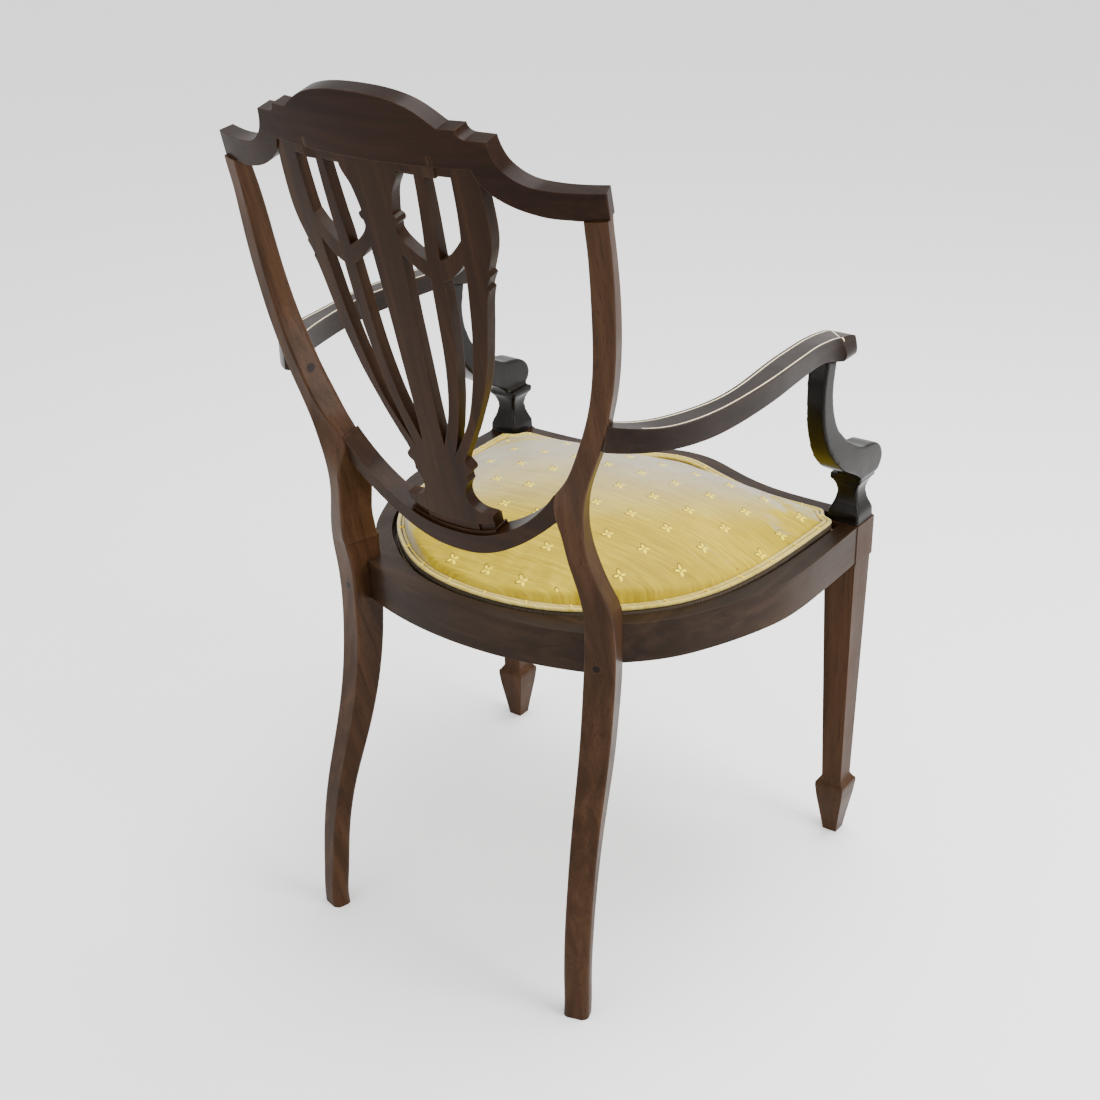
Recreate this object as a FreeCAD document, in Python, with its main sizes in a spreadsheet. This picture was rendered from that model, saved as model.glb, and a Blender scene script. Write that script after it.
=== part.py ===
import FreeCAD, Part
import os
import math
from FreeCAD import Vector, Placement, Rotation

# Shield back armchair: carved mahogany frame, pierced splat, open arms with
# pale string inlay, spade front feet and an upholstered seat with a double
# welt.  Millimetres, +Z up, the chair faces -Y, the sitter's left is +X.

os.makedirs("parts", exist_ok=True)
doc = FreeCAD.newDocument("shield_back_armchair")
sheet = doc.addObject("Spreadsheet::Sheet", "sheet")
sheet.Label = "sheet"

# ------------------------------------------------------------------ sizes
DIMS = [
    ("frame_shift", -53.8, "moves the working frame so the chair is centred front to back"),
    ("rake_run", 0.25, "back leans this far per unit of height"),
    ("back_base_y", 231.25, "rear face of the back on the centre line at back_base_z"),
    ("back_base_z", 500.0, "height of the origin of the raked back frame"),
    ("rake_angle", -14.0362, "tilt of the raked back frame about X"),
    ("bow_crest", 592.0, "plan radius of the bowed crest and splat"),
    ("bow_lower", 1031.0, "plan radius of the bottom rail of the shield"),
    ("crest_thick", 18.0, "crest rail thickness on the centre line"),
    ("bow_crest_front", 613.0, "plan radius of the crest's front face, thinner at the ears"),
    ("splat_thick", 12.0, "splat thickness"),
    ("splat_recess", 1.5, "splat rear face set in from the crest"),
    ("shoe_thick", 18.0, "moulded shoe under the splat"),
    ("shoe_recess", 4.0, "shoe rear face set in"),
    ("lower_thick", 23.5, "bottom rail of the shield, thickness"),
    ("seat_top", 425.0, "top of the seat rails"),
    ("rail_height", 45.0, "depth of the seat rails"),
    ("rebate_depth", 12.0, "rebate for the upholstery"),
    ("block_size", 41.0, "square of the front leg block"),
    ("block_height", 48.0, "height of the front leg block"),
    ("block_outer", 258.4, "outer face of the front leg block"),
    ("block_rear", -161.0, "rear face of the front leg block"),
    ("leg_top_size", 38.0, "square of the front leg under the block"),
    ("leg_neck_size", 25.0, "square of the front leg above the spade"),
    ("leg_neck_z", 79.0, "height of the neck above the spade foot"),
    ("spade_size", 36.7, "widest square of the spade foot"),
    ("spade_top", 66.0, "height of the widest part of the spade"),
    ("spade_foot", 18.0, "square of the spade at the floor"),
    ("arm_top", 671.0, "top of the arm"),
    ("support_thick", 31.0, "width of the support scroll"),
    ("pin_dia", 14.0, "round pin of the support in the leg"),
    ("pin_len", 30.0, "length of that pin"),
    ("top_pin_dia", 10.0, "round pin of the support in the arm"),
    ("string_width", 1.3, "width of the pale string inlay"),
    ("string_depth", 1.0, "depth of the inlay"),
    ("tenon_thick", 9.0, "thickness of the frame tenons"),
    ("web_width", 50.0, "webbing width"),
    ("web_thick", 1.5, "webbing thickness"),
    ("hessian_thick", 1.0, "hessian thickness"),
    ("cover_thick", 1.2, "cover cloth thickness"),
    ("crown_radius", 700.0, "radius of the crowned seat, both ways"),
    ("crown_top", 471.0, "height of the crown"),
    ("welt_band", 11.0, "width of the double welt"),
    ("welt_top", 430.5, "top of the double welt"),
    ("gap_band", 4.5, "shadow gap between the rebate wall and the welt"),
    ("ledge_band", 8.0, "rebate ledge inside the welt line"),
    ("plug_dia", 9.0, "round wooden plug"),
    ("screw_dia", 4.5, "wood screw shank"),
    ("head_dia", 8.6, "wood screw head"),
    ("block_leg", 52.0, "corner block, length along each rail"),
]

# Outlines.  "elev" tables hold half elevations of the back as seen square on:
# distance from the centre line and height above the floor on the rear face.
# "plan" tables hold distance from the centre line and depth.
TABLES = {
    # crest, upper edge from the centre out to the ear
    "dome": [(0, 971.5), (30, 970.0), (50, 966.2), (60, 962.8), (70, 957.6), (79, 951.6), (85.6, 946.9)],
    "cove": [(102.8, 947.2), (103.6, 943.6), (106.6, 940.6), (111.0, 939.2)],
    "shoulder": [(128.8, 938.6), (131.6, 926.0), (136.0, 917.5), (142.0, 911.2), (149.5, 906.0),
                 (158.0, 902.4), (170.0, 900.2), (186.0, 899.0), (204.0, 899.0), (221.3, 899.8)],
    "crest_low": [(198.0, 875.0), (187.0, 874.3), (174.0, 874.8), (162.0, 876.8), (150.0, 880.0),
                  (139.0, 884.2), (129.0, 889.6), (120.5, 896.0), (114.5, 903.0), (110.5, 910.6)],
    # splat, outer edge from the crest down to the tip of the shoe
    "splat_top": [(112.0, 914.0), (115.0, 898.0), (116.2, 880.0), (116.4, 862.0), (115.4, 847.0), (112.6, 834.0),
                  (108.6, 823.0), (105.6, 815.2)],
    "splat_leaf": [(107.4, 812.6), (104.0, 806.0), (101.6, 800.6)],
    "splat_long": [(103.2, 798.2), (100.0, 789.0), (97.6, 779.0), (95.2, 766.0), (92.6, 753.0), (90.0, 741.0),
                   (86.0, 723.0), (81.2, 707.0), (76.0, 691.0), (71.0, 678.0), (66.0, 667.0), (61.0, 656.0),
                   (56.0, 645.0), (51.0, 635.0), (46.0, 625.5), (41.0, 616.0), (36.8, 608.4), (34.4, 602.6)],
    "splat_scroll": [(37.4, 599.0), (39.6, 594.4), (37.4, 590.4)],
    "splat_neck": [(33.6, 588.0), (33.0, 583.4), (33.4, 579.4)],
    "splat_flare": [(30.4, 575.0), (27.4, 569.0), (26.4, 563.0), (27.6, 556.4), (31.2, 550.8), (36.4, 547.0),
                    (43.6, 545.0), (53.8, 544.6)],
    "splat_base": [(52.6, 537.4), (45.0, 533.4), (30.0, 530.0), (15.0, 528.6), (0, 528.2)],
    # piercings between the centre bar and the inner bar
    "eye_in_cap": [(32.6, 903.5), (32.0, 897.6), (29.6, 892.6), (26.0, 887.0), (23.2, 880.6), (21.2, 873.0),
                   (19.4, 865.0), (18.4, 859.4)],
    "eye_in_ring": [(21.6, 857.4), (22.6, 854.6), (21.4, 851.6), (18.8, 849.8)],
    "eye_in_swag": [(18.0, 845.0), (20.4, 839.6), (24.4, 834.8), (29.6, 830.0), (36.4, 824.8), (45.0, 820.0)],
    "eye_in_bar": [(45.4, 831.0), (46.8, 842.0), (48.8, 862.0), (50.4, 882.0), (51.6, 903.5)],
    # between the inner bar and the outer bar
    "eye_out_bar": [(61.4, 903.5), (61.4, 880.0), (60.8, 858.0), (60.0, 838.0), (59.4, 821.4)],
    "eye_out_swag": [(65.0, 824.0), (71.0, 829.0), (78.0, 836.0), (85.4, 845.0)],
    "eye_out_edge": [(87.2, 862.0), (88.2, 882.0), (88.6, 903.5)],
    # lower piercings
    "low_in_top": [(44.4, 802.4), (37.4, 806.6), (30.6, 811.6), (24.4, 817.2), (17.6, 824.0)],
    "low_in_bar": [(16.8, 801.0), (16.2, 785.0), (15.4, 766.0), (14.8, 741.0), (14.4, 716.0), (13.8, 691.0),
                   (13.2, 666.0), (13.0, 641.0), (13.7, 616.4)],
    "low_in_side": [(18.4, 629.0), (23.2, 641.6), (28.0, 656.0), (31.8, 671.0), (35.2, 689.0), (38.0, 708.0),
                    (40.2, 730.0), (41.8, 757.0), (43.2, 780.0)],
    "low_out_top": [(59.0, 801.0), (64.6, 803.4), (70.6, 807.8), (77.0, 813.8), (83.4, 821.0)],
    "low_out_edge": [(82.6, 802.0), (80.6, 785.0), (78.4, 767.0), (76.0, 750.0), (73.0, 734.0), (69.8, 718.0),
                     (66.0, 702.0), (61.6, 686.0), (56.4, 669.0), (50.4, 653.6), (44.0, 641.0), (36.6, 628.0),
                     (29.6, 616.8), (23.2, 607.2)],
    "low_out_side": [(27.4, 616.0), (31.8, 628.6), (36.4, 643.0), (40.6, 658.6), (44.4, 674.0), (47.8, 691.0),
                     (51.2, 710.0), (54.2, 730.0), (56.6, 752.0), (58.2, 776.0)],
    # bottom rail of the shield
    "lower_up": [(0, 513.4), (20, 514.4), (40, 518.4), (60, 526.4), (80, 538.0), (100, 553.2), (114, 567.0),
                 (124, 578.6), (131.4, 588.4)],
    "lower_down": [(142, 567.6), (135, 562.0), (117, 546.0), (103, 534.4), (90, 524.4), (72, 512.6),
                   (58, 504.6), (44, 498.4), (26, 493.2), (0, 491.0)],
    # seat plan, outer line of the side rail from the front block back to the post
    "side_out": [(257.6, -163), (257.9, -130), (258.2, -90), (257.6, -40), (253.4, 0), (243.6, 36), (233.3, 64),
                 (220.0, 93.5), (208.0, 116), (199.4, 129.4), (184.8, 147.3), (172.6, 159.6), (163.0, 168), (151.0, 177)],
    # line of the outer edge of the welt from the rear centre to the front corner
    "welt_line": [(0, 206.5), (30, 205.0), (60, 199.6), (90, 189.4), (120, 172.8), (147, 152.0), (168, 132.0),
                  (186, 109.6), (201, 83.0), (213, 51.0), (222, 12.0), (228, -34.0), (231, -80.0), (232.4, -120.0),
                  (233, -157.0)],
    # serpentine front, outer line from the centre to the block
    "front_out": [(0, -241.5), (20, -239.6), (40, -233.6), (60, -225.2), (80, -217.0), (100, -210.2), (122, -204.8),
                  (150, -201.4), (180, -200.2), (218, -200.0)],
    # arm in plan, outer line front to back, then inner line back to front
    "arm_out": [(264.4, -94.8), (261.6, -93.2), (258.9, -89.4), (257.2, -82.6), (256.6, -71), (256.2, -54),
                (256.8, -34), (258.6, -12), (260.2, 10), (261.8, 34), (262.6, 60), (261.2, 100), (257.6, 140),
                (250.4, 182), (240.0, 210), (224.0, 232.6), (209.6, 245.6), (197.0, 253.4)],
    "arm_in": [(190.6, 231.6), (203.0, 218), (215.0, 199), (226.0, 170), (234.0, 138), (238.4, 103), (238.4, 78),
               (236.8, 54), (234.2, 26), (231.4, -9), (229.2, -48), (228.2, -80), (228.8, -100), (231.2, -112),
               (236.0, -118.4), (243.0, -120.8), (252.0, -121.2), (259.0, -120.2), (264.4, -117.4)],
    # arm in side view, top line back to front, nose, underside front to back
    "arm_upper": [(276, 680), (246, 676), (222, 672.4), (190, 671), (130, 671), (90, 672.6), (40, 673.8), (0, 673.4),
                  (-34, 672.6), (-56, 672.0), (-72, 671.0), (-86, 669.8), (-100, 668.4), (-112, 666.8), (-121, 663.6)],
    "arm_under": [(-121, 646.5), (-112, 643.8), (-98, 643.4), (-86, 644.8), (-74, 648.4), (-60, 651.2), (-40, 652.2),
                  (0, 652.4), (40, 651.6), (80, 650.0), (110, 648.4), (150, 647.2), (190, 648.2), (246, 651.0),
                  (276, 654)],
    # the nose turns outward and rolls down: front view of its end
    "arm_roll": [(256.4, 676.0), (257.6, 669.6), (259.8, 664.4), (262.0, 658.6), (263.6, 652.4), (263.4, 647.2),
                 (261.2, 643.6), (257.6, 641.0)],
    # arm support in side view, front edge going down, then the rear edge going up
    "sup_front": [(-93, 660), (-91, 645), (-88.4, 631), (-87, 617), (-87.6, 604), (-90.6, 590), (-96, 576), (-104, 563),
                  (-115, 551.6), (-130, 539.6), (-147, 529.6), (-164, 522.8), (-180, 520.6), (-194, 517.0),
                  (-204.6, 509.0), (-209.6, 498.0), (-206.8, 488.4), (-199.4, 482.0)],
    "sup_rear": [(-162.0, 483.0), (-150, 492), (-134, 500.6), (-116, 511), (-100.6, 524), (-87.4, 539), (-77.4, 556),
                 (-70.9, 573), (-67.2, 591), (-66.0, 610), (-67.0, 629), (-69.8, 646), (-73, 662)],
    # side taper of the support, half width from the centre line and height
    "sup_wide": [(15.2, 470), (15.4, 488), (15.4, 506), (14.6, 522), (12.9, 540), (11.4, 560), (10.8, 585), (10.8, 620),
                 (11.2, 645), (11.4, 672)],
    # pedestal, half width and height
    "ped_wide": [(18.8, 425.4), (18.9, 433.6), (18.0, 438.6), (16.0, 443.6), (14.0, 449.4), (12.6, 456.0), (12.6, 463.0), (14.6, 470.0),
                 (17.8, 475.6)],
}

# Rear post, one section per row: height, rear outer corner, rear inner corner,
# front inner corner, front outer corner, rear and front corner radius.
POST = [
    (0, 187.9, 279.2, 160.8, 287.0, 154.0, 266.1, 181.1, 258.3, 7.5, 7.5),
    (40, 187.9, 277.6, 160.8, 285.3, 154.0, 264.4, 181.1, 256.7, 7.0, 7.0),
    (100, 186.6, 271.6, 158.9, 279.4, 152.1, 258.5, 179.8, 250.7, 5.5, 6.5),
    (160, 184.2, 260.2, 156.2, 268.1, 148.8, 245.3, 176.8, 237.4, 4.0, 6.0),
    (220, 180.7, 243.2, 151.4, 251.3, 142.7, 224.7, 172.0, 216.6, 3.0, 5.0),
    (280, 179.6, 227.2, 148.6, 236.0, 139.2, 206.0, 169.9, 197.2, 2.6, 4.5),
    (330, 180.2, 219.0, 148.2, 228.4, 139.4, 195.1, 168.4, 185.7, 2.5, 4.0),
    (372, 181.3, 215.3, 149.2, 226.2, 143.4, 187.0, 166.0, 176.6, 2.4, 3.6),
    (410, 182.9, 215.5, 150.6, 225.3, 146.0, 182.6, 164.4, 173.6, 2.4, 3.4),
    (438, 183.8, 218.5, 152.6, 227.6, 146.2, 184.2, 166.0, 176.6, 2.4, 3.4),
    (453, 183.3, 220.4, 154.4, 230.0, 144.2, 184.8, 167.4, 180.4, 2.4, 3.0),
    (453, 183.1, 220.6, 154.2, 230.2, 141.0, 191.6, 167.6, 182.2, 2.4, 3.0),
    (468, 181.0, 223.2, 154.6, 232.8, 140.4, 194.2, 167.6, 188.4, 2.4, 3.2),
    (485, 175.8, 227.8, 152.6, 235.6, 138.2, 198.0, 164.2, 195.8, 2.4, 3.6),
    (512, 167.6, 234.0, 147.0, 240.8, 132.8, 201.2, 157.0, 202.9, 2.4, 3.6),
    (532, 164.2, 237.9, 143.6, 244.2, 129.2, 204.4, 154.3, 208.6, 2.4, 3.8),
    (550, 163.9, 241.2, 140.4, 246.4, 127.4, 211.0, 154.3, 213.9, 2.4, 4.0),
    (564, 165.0, 244.0, 135.0, 246.2, 125.8, 216.6, 155.4, 217.2, 2.4, 4.0),
    (577, 167.0, 246.5, 131.2, 244.6, 126.6, 218.6, 157.4, 220.1, 2.4, 4.0),
    (590, 169.4, 248.3, 134.0, 245.6, 131.4, 220.2, 160.0, 222.0, 2.4, 4.2),
    (605, 173.6, 249.5, 145.8, 249.4, 140.0, 222.2, 163.8, 222.2, 2.4, 4.4),
    (625, 181.0, 250.8, 158.5, 253.7, 149.0, 225.8, 171.4, 222.9, 2.4, 4.6),
    (650, 191.3, 252.8, 169.5, 257.2, 160.5, 229.7, 182.3, 225.2, 2.4, 4.8),
    (680, 201.0, 256.0, 180.5, 260.4, 171.8, 233.8, 192.3, 229.4, 2.4, 5.0),
    (710, 208.7, 259.3, 188.2, 263.9, 180.4, 238.6, 200.8, 234.0, 2.4, 5.0),
    (740, 214.0, 262.8, 193.2, 268.0, 186.0, 244.1, 206.8, 238.9, 2.4, 5.0),
    (780, 218.3, 268.4, 197.0, 274.2, 190.4, 251.6, 211.7, 245.8, 2.4, 5.0),
    (820, 220.3, 274.0, 199.3, 280.4, 193.1, 259.3, 214.1, 252.9, 2.4, 5.0),
    (850, 221.0, 279.0, 200.5, 285.8, 194.9, 266.6, 215.4, 259.8, 2.2, 4.6),
    (890, 221.6, 285.4, 202.0, 292.6, 197.0, 274.6, 216.6, 267.4, 2.0, 4.0),
]
POST_COLS = ["height", "rox", "roy", "rix", "riy", "fix", "fiy", "fox", "foy", "rrad", "frad"]

row = 1
sheet.set("A1", "name")
sheet.set("B1", "value")
sheet.set("C1", "meaning")
for alias, value, note in DIMS:
    row += 1
    sheet.set("A%d" % row, alias)
    sheet.set("B%d" % row, repr(float(value)))
    sheet.setAlias("B%d" % row, alias)
    sheet.set("C%d" % row, note)
row += 1
for tname in sorted(TABLES):
    for i, (a, b) in enumerate(TABLES[tname]):
        row += 1
        sheet.set("A%d" % row, "%s point %d" % (tname, i))
        sheet.set("B%d" % row, repr(float(a)))
        sheet.setAlias("B%d" % row, "%s_across_%02d" % (tname, i))
        sheet.set("C%d" % row, repr(float(b)))
        sheet.setAlias("C%d" % row, "%s_along_%02d" % (tname, i))
LET = "BCDEFGHIJKL"
for i, values in enumerate(POST):
    row += 1
    sheet.set("A%d" % row, "post section %d" % i)
    for j, value in enumerate(values):
        sheet.set("%s%d" % (LET[j], row), repr(float(value)))
        sheet.setAlias("%s%d" % (LET[j], row), "post_%s_%02d" % (POST_COLS[j], i))
doc.recompute()


def val(alias):
    return float(sheet.get(alias))


def table(name):
    n = len(TABLES[name])
    return [(val("%s_across_%02d" % (name, i)), val("%s_along_%02d" % (name, i))) for i in range(n)]


SHIFT = "sheet.frame_shift"
keep = []          # finished sub-parts, in order


# ------------------------------------------------------------- helpers
def origin_plane(body, role):
    for feature in body.Origin.OriginFeatures:
        if feature.Role == role:
            return feature
    raise RuntimeError("no plane " + role)


def new_body(name):
    body = doc.addObject("PartDesign::Body", name)
    body.Label = name
    return body


def seat_frame(obj):
    """Place an object of the working frame: only the front to back shift."""
    obj.setExpression("Placement.Base.y", SHIFT)


def back_frame(obj):
    """Place an object drawn in the raked frame of the back."""
    obj.Placement = Placement(Vector(0, val("back_base_y") + val("frame_shift"), val("back_base_z")),
                              Rotation(Vector(1, 0, 0), val("rake_angle")))
    obj.setExpression("Placement.Base.y", "sheet.back_base_y + sheet.frame_shift")
    obj.setExpression("Placement.Base.z", "sheet.back_base_z")
    obj.setExpression("Placement.Rotation.Angle", "sheet.rake_angle * 1 deg")


def new_sketch(body, name, role, offset=None, turn=None):
    sk = body.newObject("Sketcher::SketchObject", name)
    sk.AttachmentSupport = [(origin_plane(body, role), "")]
    sk.MapMode = "FlatFace"
    if offset is not None:
        value, expr = offset
        sk.AttachmentOffset = Placement(Vector(0, 0, value), Rotation())
        if expr:
            sk.setExpression("AttachmentOffset.Base.z", expr)
    return sk


def add_edges(sk, chains):
    """chains: closed loops, each a list of ('line', pts) or ('curve', pts)."""
    for loop in chains:
        for kind, pts in loop:
            if kind == "line":
                for a, b in zip(pts[:-1], pts[1:]):
                    sk.addGeometry(Part.LineSegment(Vector(a[0], a[1], 0), Vector(b[0], b[1], 0)), False)
            elif kind == "curve":
                curve = Part.BSplineCurve()
                curve.interpolate([Vector(p[0], p[1], 0) for p in pts])
                sk.addGeometry(curve, False)
            elif kind == "circle":
                (cx, cy), r = pts
                sk.addGeometry(Part.Circle(Vector(cx, cy, 0), Vector(0, 0, 1), r), False)
    n = sk.GeometryCount
    for g in range(n):
        sk.addConstraint(Sketcher.Constraint("Block", g))


import Sketcher


def box_sketch(sk, left, right, low, high):
    """Rectangle whose four sides follow expressions (value, expression)."""
    x0, x1, y0, y1 = left[0], right[0], low[0], high[0]
    p = [Vector(x0, y0, 0), Vector(x1, y0, 0), Vector(x1, y1, 0), Vector(x0, y1, 0)]
    for i in range(4):
        sk.addGeometry(Part.LineSegment(p[i], p[(i + 1) % 4]), False)
    for i in range(4):
        sk.addConstraint(Sketcher.Constraint("Coincident", i, 2, (i + 1) % 4, 1))
    sk.addConstraint(Sketcher.Constraint("Horizontal", 0))
    sk.addConstraint(Sketcher.Constraint("Horizontal", 2))
    sk.addConstraint(Sketcher.Constraint("Vertical", 1))
    sk.addConstraint(Sketcher.Constraint("Vertical", 3))
    for kind, geo, (value, expr) in (("DistanceX", 0, left), ("DistanceX", 2, right),
                                     ("DistanceY", 0, low), ("DistanceY", 2, high)):
        c = sk.addConstraint(Sketcher.Constraint(kind, -1, 1, geo, 1, float(value)))
        if expr:
            sk.setExpression("Constraints[%d]" % c, expr)


def pad(body, sk, name, length, midplane=False, reverse=False):
    f = body.newObject("PartDesign::Pad", name)
    f.Profile = sk
    value, expr = length
    f.Length = value
    if expr:
        f.setExpression("Length", expr)
    f.Midplane = midplane
    f.Reversed = reverse
    return f


def pocket_all(body, sk, name):
    f = body.newObject("PartDesign::Pocket", name)
    f.Profile = sk
    f.Type = 1
    f.Midplane = True
    return f


def cut(name, base, tools):
    tool = tools[0]
    if len(tools) > 1:
        tool = doc.addObject("Part::MultiFuse", name + "_tools")
        tool.Shapes = list(tools)
    c = doc.addObject("Part::Cut", name)
    c.Base = base
    c.Tool = tool
    return c


def fuse(name, shapes):
    f = doc.addObject("Part::MultiFuse", name)
    f.Shapes = list(shapes)
    return f


def common(name, shapes):
    f = doc.addObject("Part::MultiCommon", name)
    f.Shapes = list(shapes)
    return f


def mirror(name, source):
    m = doc.addObject("Part::Mirroring", name)
    m.Source = source
    m.Base = Vector(0, 0, 0)
    m.Normal = Vector(1, 0, 0)
    return m


def box(name, size, centre, rotation=None, exprs=None):
    """Box with its centre at `centre` of the final frame."""
    b = doc.addObject("Part::Box", name)
    b.Length, b.Width, b.Height = size
    for prop, expr in (exprs or {}).items():
        b.setExpression(prop, expr)
    rot = rotation or Rotation()
    off = rot.multVec(Vector(size[0] / 2.0, size[1] / 2.0, size[2] / 2.0))
    b.Placement = Placement(Vector(*centre) - off, rot)
    return b


def rod(name, dia, length, start, direction, expr=None):
    c = doc.addObject("Part::Cylinder", name)
    c.Radius = dia / 2.0
    c.Height = length
    if expr:
        c.setExpression("Radius", expr + " / 2")
    c.Placement = Placement(Vector(*start), Rotation(Vector(0, 0, 1), Vector(*direction)))
    return c


def finish(obj, label):
    obj.Label = label
    keep.append((label, obj))
    return obj


# raked frame of the back: elevation point to local point
K_CREST = 1.0 / (2.0 * 0.97014 * val("bow_crest"))
K_LOWER = 1.0 / (2.0 * 0.97014 * val("bow_lower"))
SEC = math.sqrt(1.0 + val("rake_run") ** 2)
SIN = val("rake_run") / SEC


def lift(p, k=None):
    k = K_CREST if k is None else k
    return (p[0], SEC * (p[1] - val("back_base_z")) - SIN * k * p[0] ** 2)


def lifted(name, k=None):
    return [lift(p, k) for p in table(name)]


def flip(pts):
    return [(-a, b) for a, b in reversed(pts)]


def back_point(x, depth, up):
    """Local raked frame to the final frame."""
    c, s = 1.0 / SEC, SIN
    return (x, val("back_base_y") + val("frame_shift") + depth * c + up * s, val("back_base_z") - depth * s + up * c)


TILT = Rotation(Vector(1, 0, 0), val("rake_angle"))


def bowed(body, radius_alias, rear, thick, tag, front_radius=None):
    """Trim a long pad to a bowed slab: pocket away what is behind and in front."""
    radius = val(radius_alias)
    half = 300.0

    def arc_pts(r, shift):
        out = []
        for i in range(13):
            x = -half + i * half / 6.0
            out.append((x, shift - radius + math.sqrt(r * r - x * x)))
        return out
    rear_arc = arc_pts(radius, -rear)
    front_arc = arc_pts(radius - thick, -rear)
    if front_radius is not None:
        front_arc = [(x, -rear - thick - front_radius + math.sqrt(front_radius ** 2 - x * x)) for x, _ in rear_arc]
    sk = new_sketch(body, tag + "_behind", "XY_Plane")
    add_edges(sk, [[("curve", rear_arc), ("line", [rear_arc[-1], (half, 200), (-half, 200), rear_arc[0]])]])
    pocket_all(body, sk, tag + "_trim_behind")
    sk = new_sketch(body, tag + "_ahead", "XY_Plane")
    add_edges(sk, [[("curve", front_arc), ("line", [front_arc[-1], (half, -260), (-half, -260), front_arc[0]])]])
    pocket_all(body, sk, tag + "_trim_ahead")


# ------------------------------------------------------------ rear posts
post_body = new_body("post_carved")
profiles = []
for i in range(len(POST)):
    z, rox, roy, rix, riy, fix, fiy, fox, foy, rr, fr = [val("post_%s_%02d" % (c, i)) for c in POST_COLS]
    sk = new_sketch(post_body, "post_section_%02d" % i, "XY_Plane", (z, "sheet.post_height_%02d" % i))
    corners = [(Vector(rox, roy, 0), rr), (Vector(rix, riy, 0), rr), (Vector(fix, fiy, 0), fr), (Vector(fox, foy, 0), fr)]
    pts = []
    for k in range(4):
        c, r = corners[k]
        a = (corners[(k - 1) % 4][0] - c)
        b = (corners[(k + 1) % 4][0] - c)
        a.normalize()
        b.normalize()
        half = math.acos(max(-1.0, min(1.0, a.dot(b)))) / 2.0
        t = r / math.tan(half)
        m = (a + b)
        m.normalize()
        centre = c + m * (r / math.sin(half))
        pts.append((c + a * t, centre - m * r, c + b * t))
    for k in range(4):
        arc = Part.Arc(pts[k][0], pts[k][1], pts[k][2])
        sk.addGeometry(arc, False)
        sk.addGeometry(Part.LineSegment(pts[k][2], pts[(k + 1) % 4][0]), False)
    for g in range(8):
        sk.addConstraint(Sketcher.Constraint("Block", g))
    profiles.append(sk)
# two lofts: the squared block at the seat rails, and the slimmer post that
# stands on it behind a small ledge
LEDGE_ROW = next(i for i in range(1, len(POST)) if POST[i][0] == POST[i - 1][0])
for tag, group in (("post_leg", profiles[:LEDGE_ROW]), ("post_stile", profiles[LEDGE_ROW:])):
    loft = post_body.newObject("PartDesign::AdditiveLoft", tag)
    loft.Profile = group[0]
    loft.Sections = [(sk, [""]) for sk in group[1:]]
    loft.Ruled = False
    loft.Closed = False
seat_frame(post_body)

ear_up = lift((210.0, 875.0))[1]           # flat joint between post and crest ear
post_head = box("post_head_trim", (120, 120, 120), back_point(205.0, -20.0, ear_up + 60.0), TILT)
post_plain = cut("post_plain", post_body, [post_head])
post_tenon = box("post_head_tenon", (11, 9, 34), back_point(210.5, -38.2 - 9.0, ear_up + 5.0), TILT,
                 {"Width": "sheet.tenon_thick"})
post_solid = fuse("post_solid", [post_plain, post_tenon])
post_right_raw = mirror("post_right_raw", post_plain)

# ------------------------------------------------------------- crest rail
crest = new_body("crest_carved")
sk = new_sketch(crest, "crest_elevation", "XZ_Plane")
dome, cove, shoulder, low = lifted("dome"), lifted("cove"), lifted("shoulder"), lifted("crest_low")
line_up = lift((0.0, 910.6))[1]            # flat joint over the splat
low[-1] = (low[-1][0], line_up)
low[0] = (low[0][0], ear_up)
ear = shoulder[-1]
add_edges(sk, [[
    ("curve", flip(dome)[:-1] + dome),
    ("line", [dome[-1], cove[0]]), ("curve", cove), ("line", [cove[-1], shoulder[0]]), ("curve", shoulder),
    ("line", [ear, (ear[0] + 0.6, ear_up), low[0]]), ("curve", low),
    ("line", [low[-1], (-low[-1][0], line_up)]), ("curve", flip(low)),
    ("line", [(-low[0][0], ear_up), (-ear[0] - 0.6, ear_up), (-ear[0], ear[1])]), ("curve", flip(shoulder)),
    ("line", [(-shoulder[0][0], shoulder[0][1]), (-cove[-1][0], cove[-1][1])]), ("curve", flip(cove)),
    ("line", [(-cove[0][0], cove[0][1]), (-dome[-1][0], dome[-1][1])]),
]])
pad(crest, sk, "crest_board", (240.0, None), midplane=True)
bowed(crest, "bow_crest", 0.0, val("crest_thick"), "crest", val("bow_crest_front"))
# the end faces of the ears turn in towards the front, as the posts do
sk = new_sketch(crest, "ear_ends", "XY_Plane")
for sign in (1, -1):
    quad = [(sign * 226.6, -30), (sign * 212.6, -70), (sign * 262.0, -70), (sign * 262.0, -30)]
    add_edges(sk, [[("line", quad + [quad[0]])]])
pocket_all(crest, sk, "ear_trim")
back_frame(crest)

# ------------------------------------------------------------------ splat
splat = new_body("splat_carved")
sk = new_sketch(splat, "splat_elevation", "XZ_Plane")
T = {n: lifted(n) for n in TABLES if n.startswith(("splat", "eye", "low"))}
top = T["splat_top"]
half_edge = [("curve", top), ("line", [top[-1], T["splat_leaf"][0]]), ("curve", T["splat_leaf"]),
             ("line", [T["splat_leaf"][-1], T["splat_long"][0]]), ("curve", T["splat_long"]),
             ("line", [T["splat_long"][-1], T["splat_scroll"][0]]), ("curve", T["splat_scroll"]),
             ("line", [T["splat_scroll"][-1], T["splat_neck"][0]]), ("curve", T["splat_neck"]),
             ("line", [T["splat_neck"][-1], T["splat_flare"][0]]), ("curve", T["splat_flare"]),
             ("line", [T["splat_flare"][-1], T["splat_base"][0]])]
other = []
for kind, pts in reversed(half_edge):
    other.append((kind, flip(pts)))
base_pts = T["splat_base"] + flip(T["splat_base"])[1:]
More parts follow.
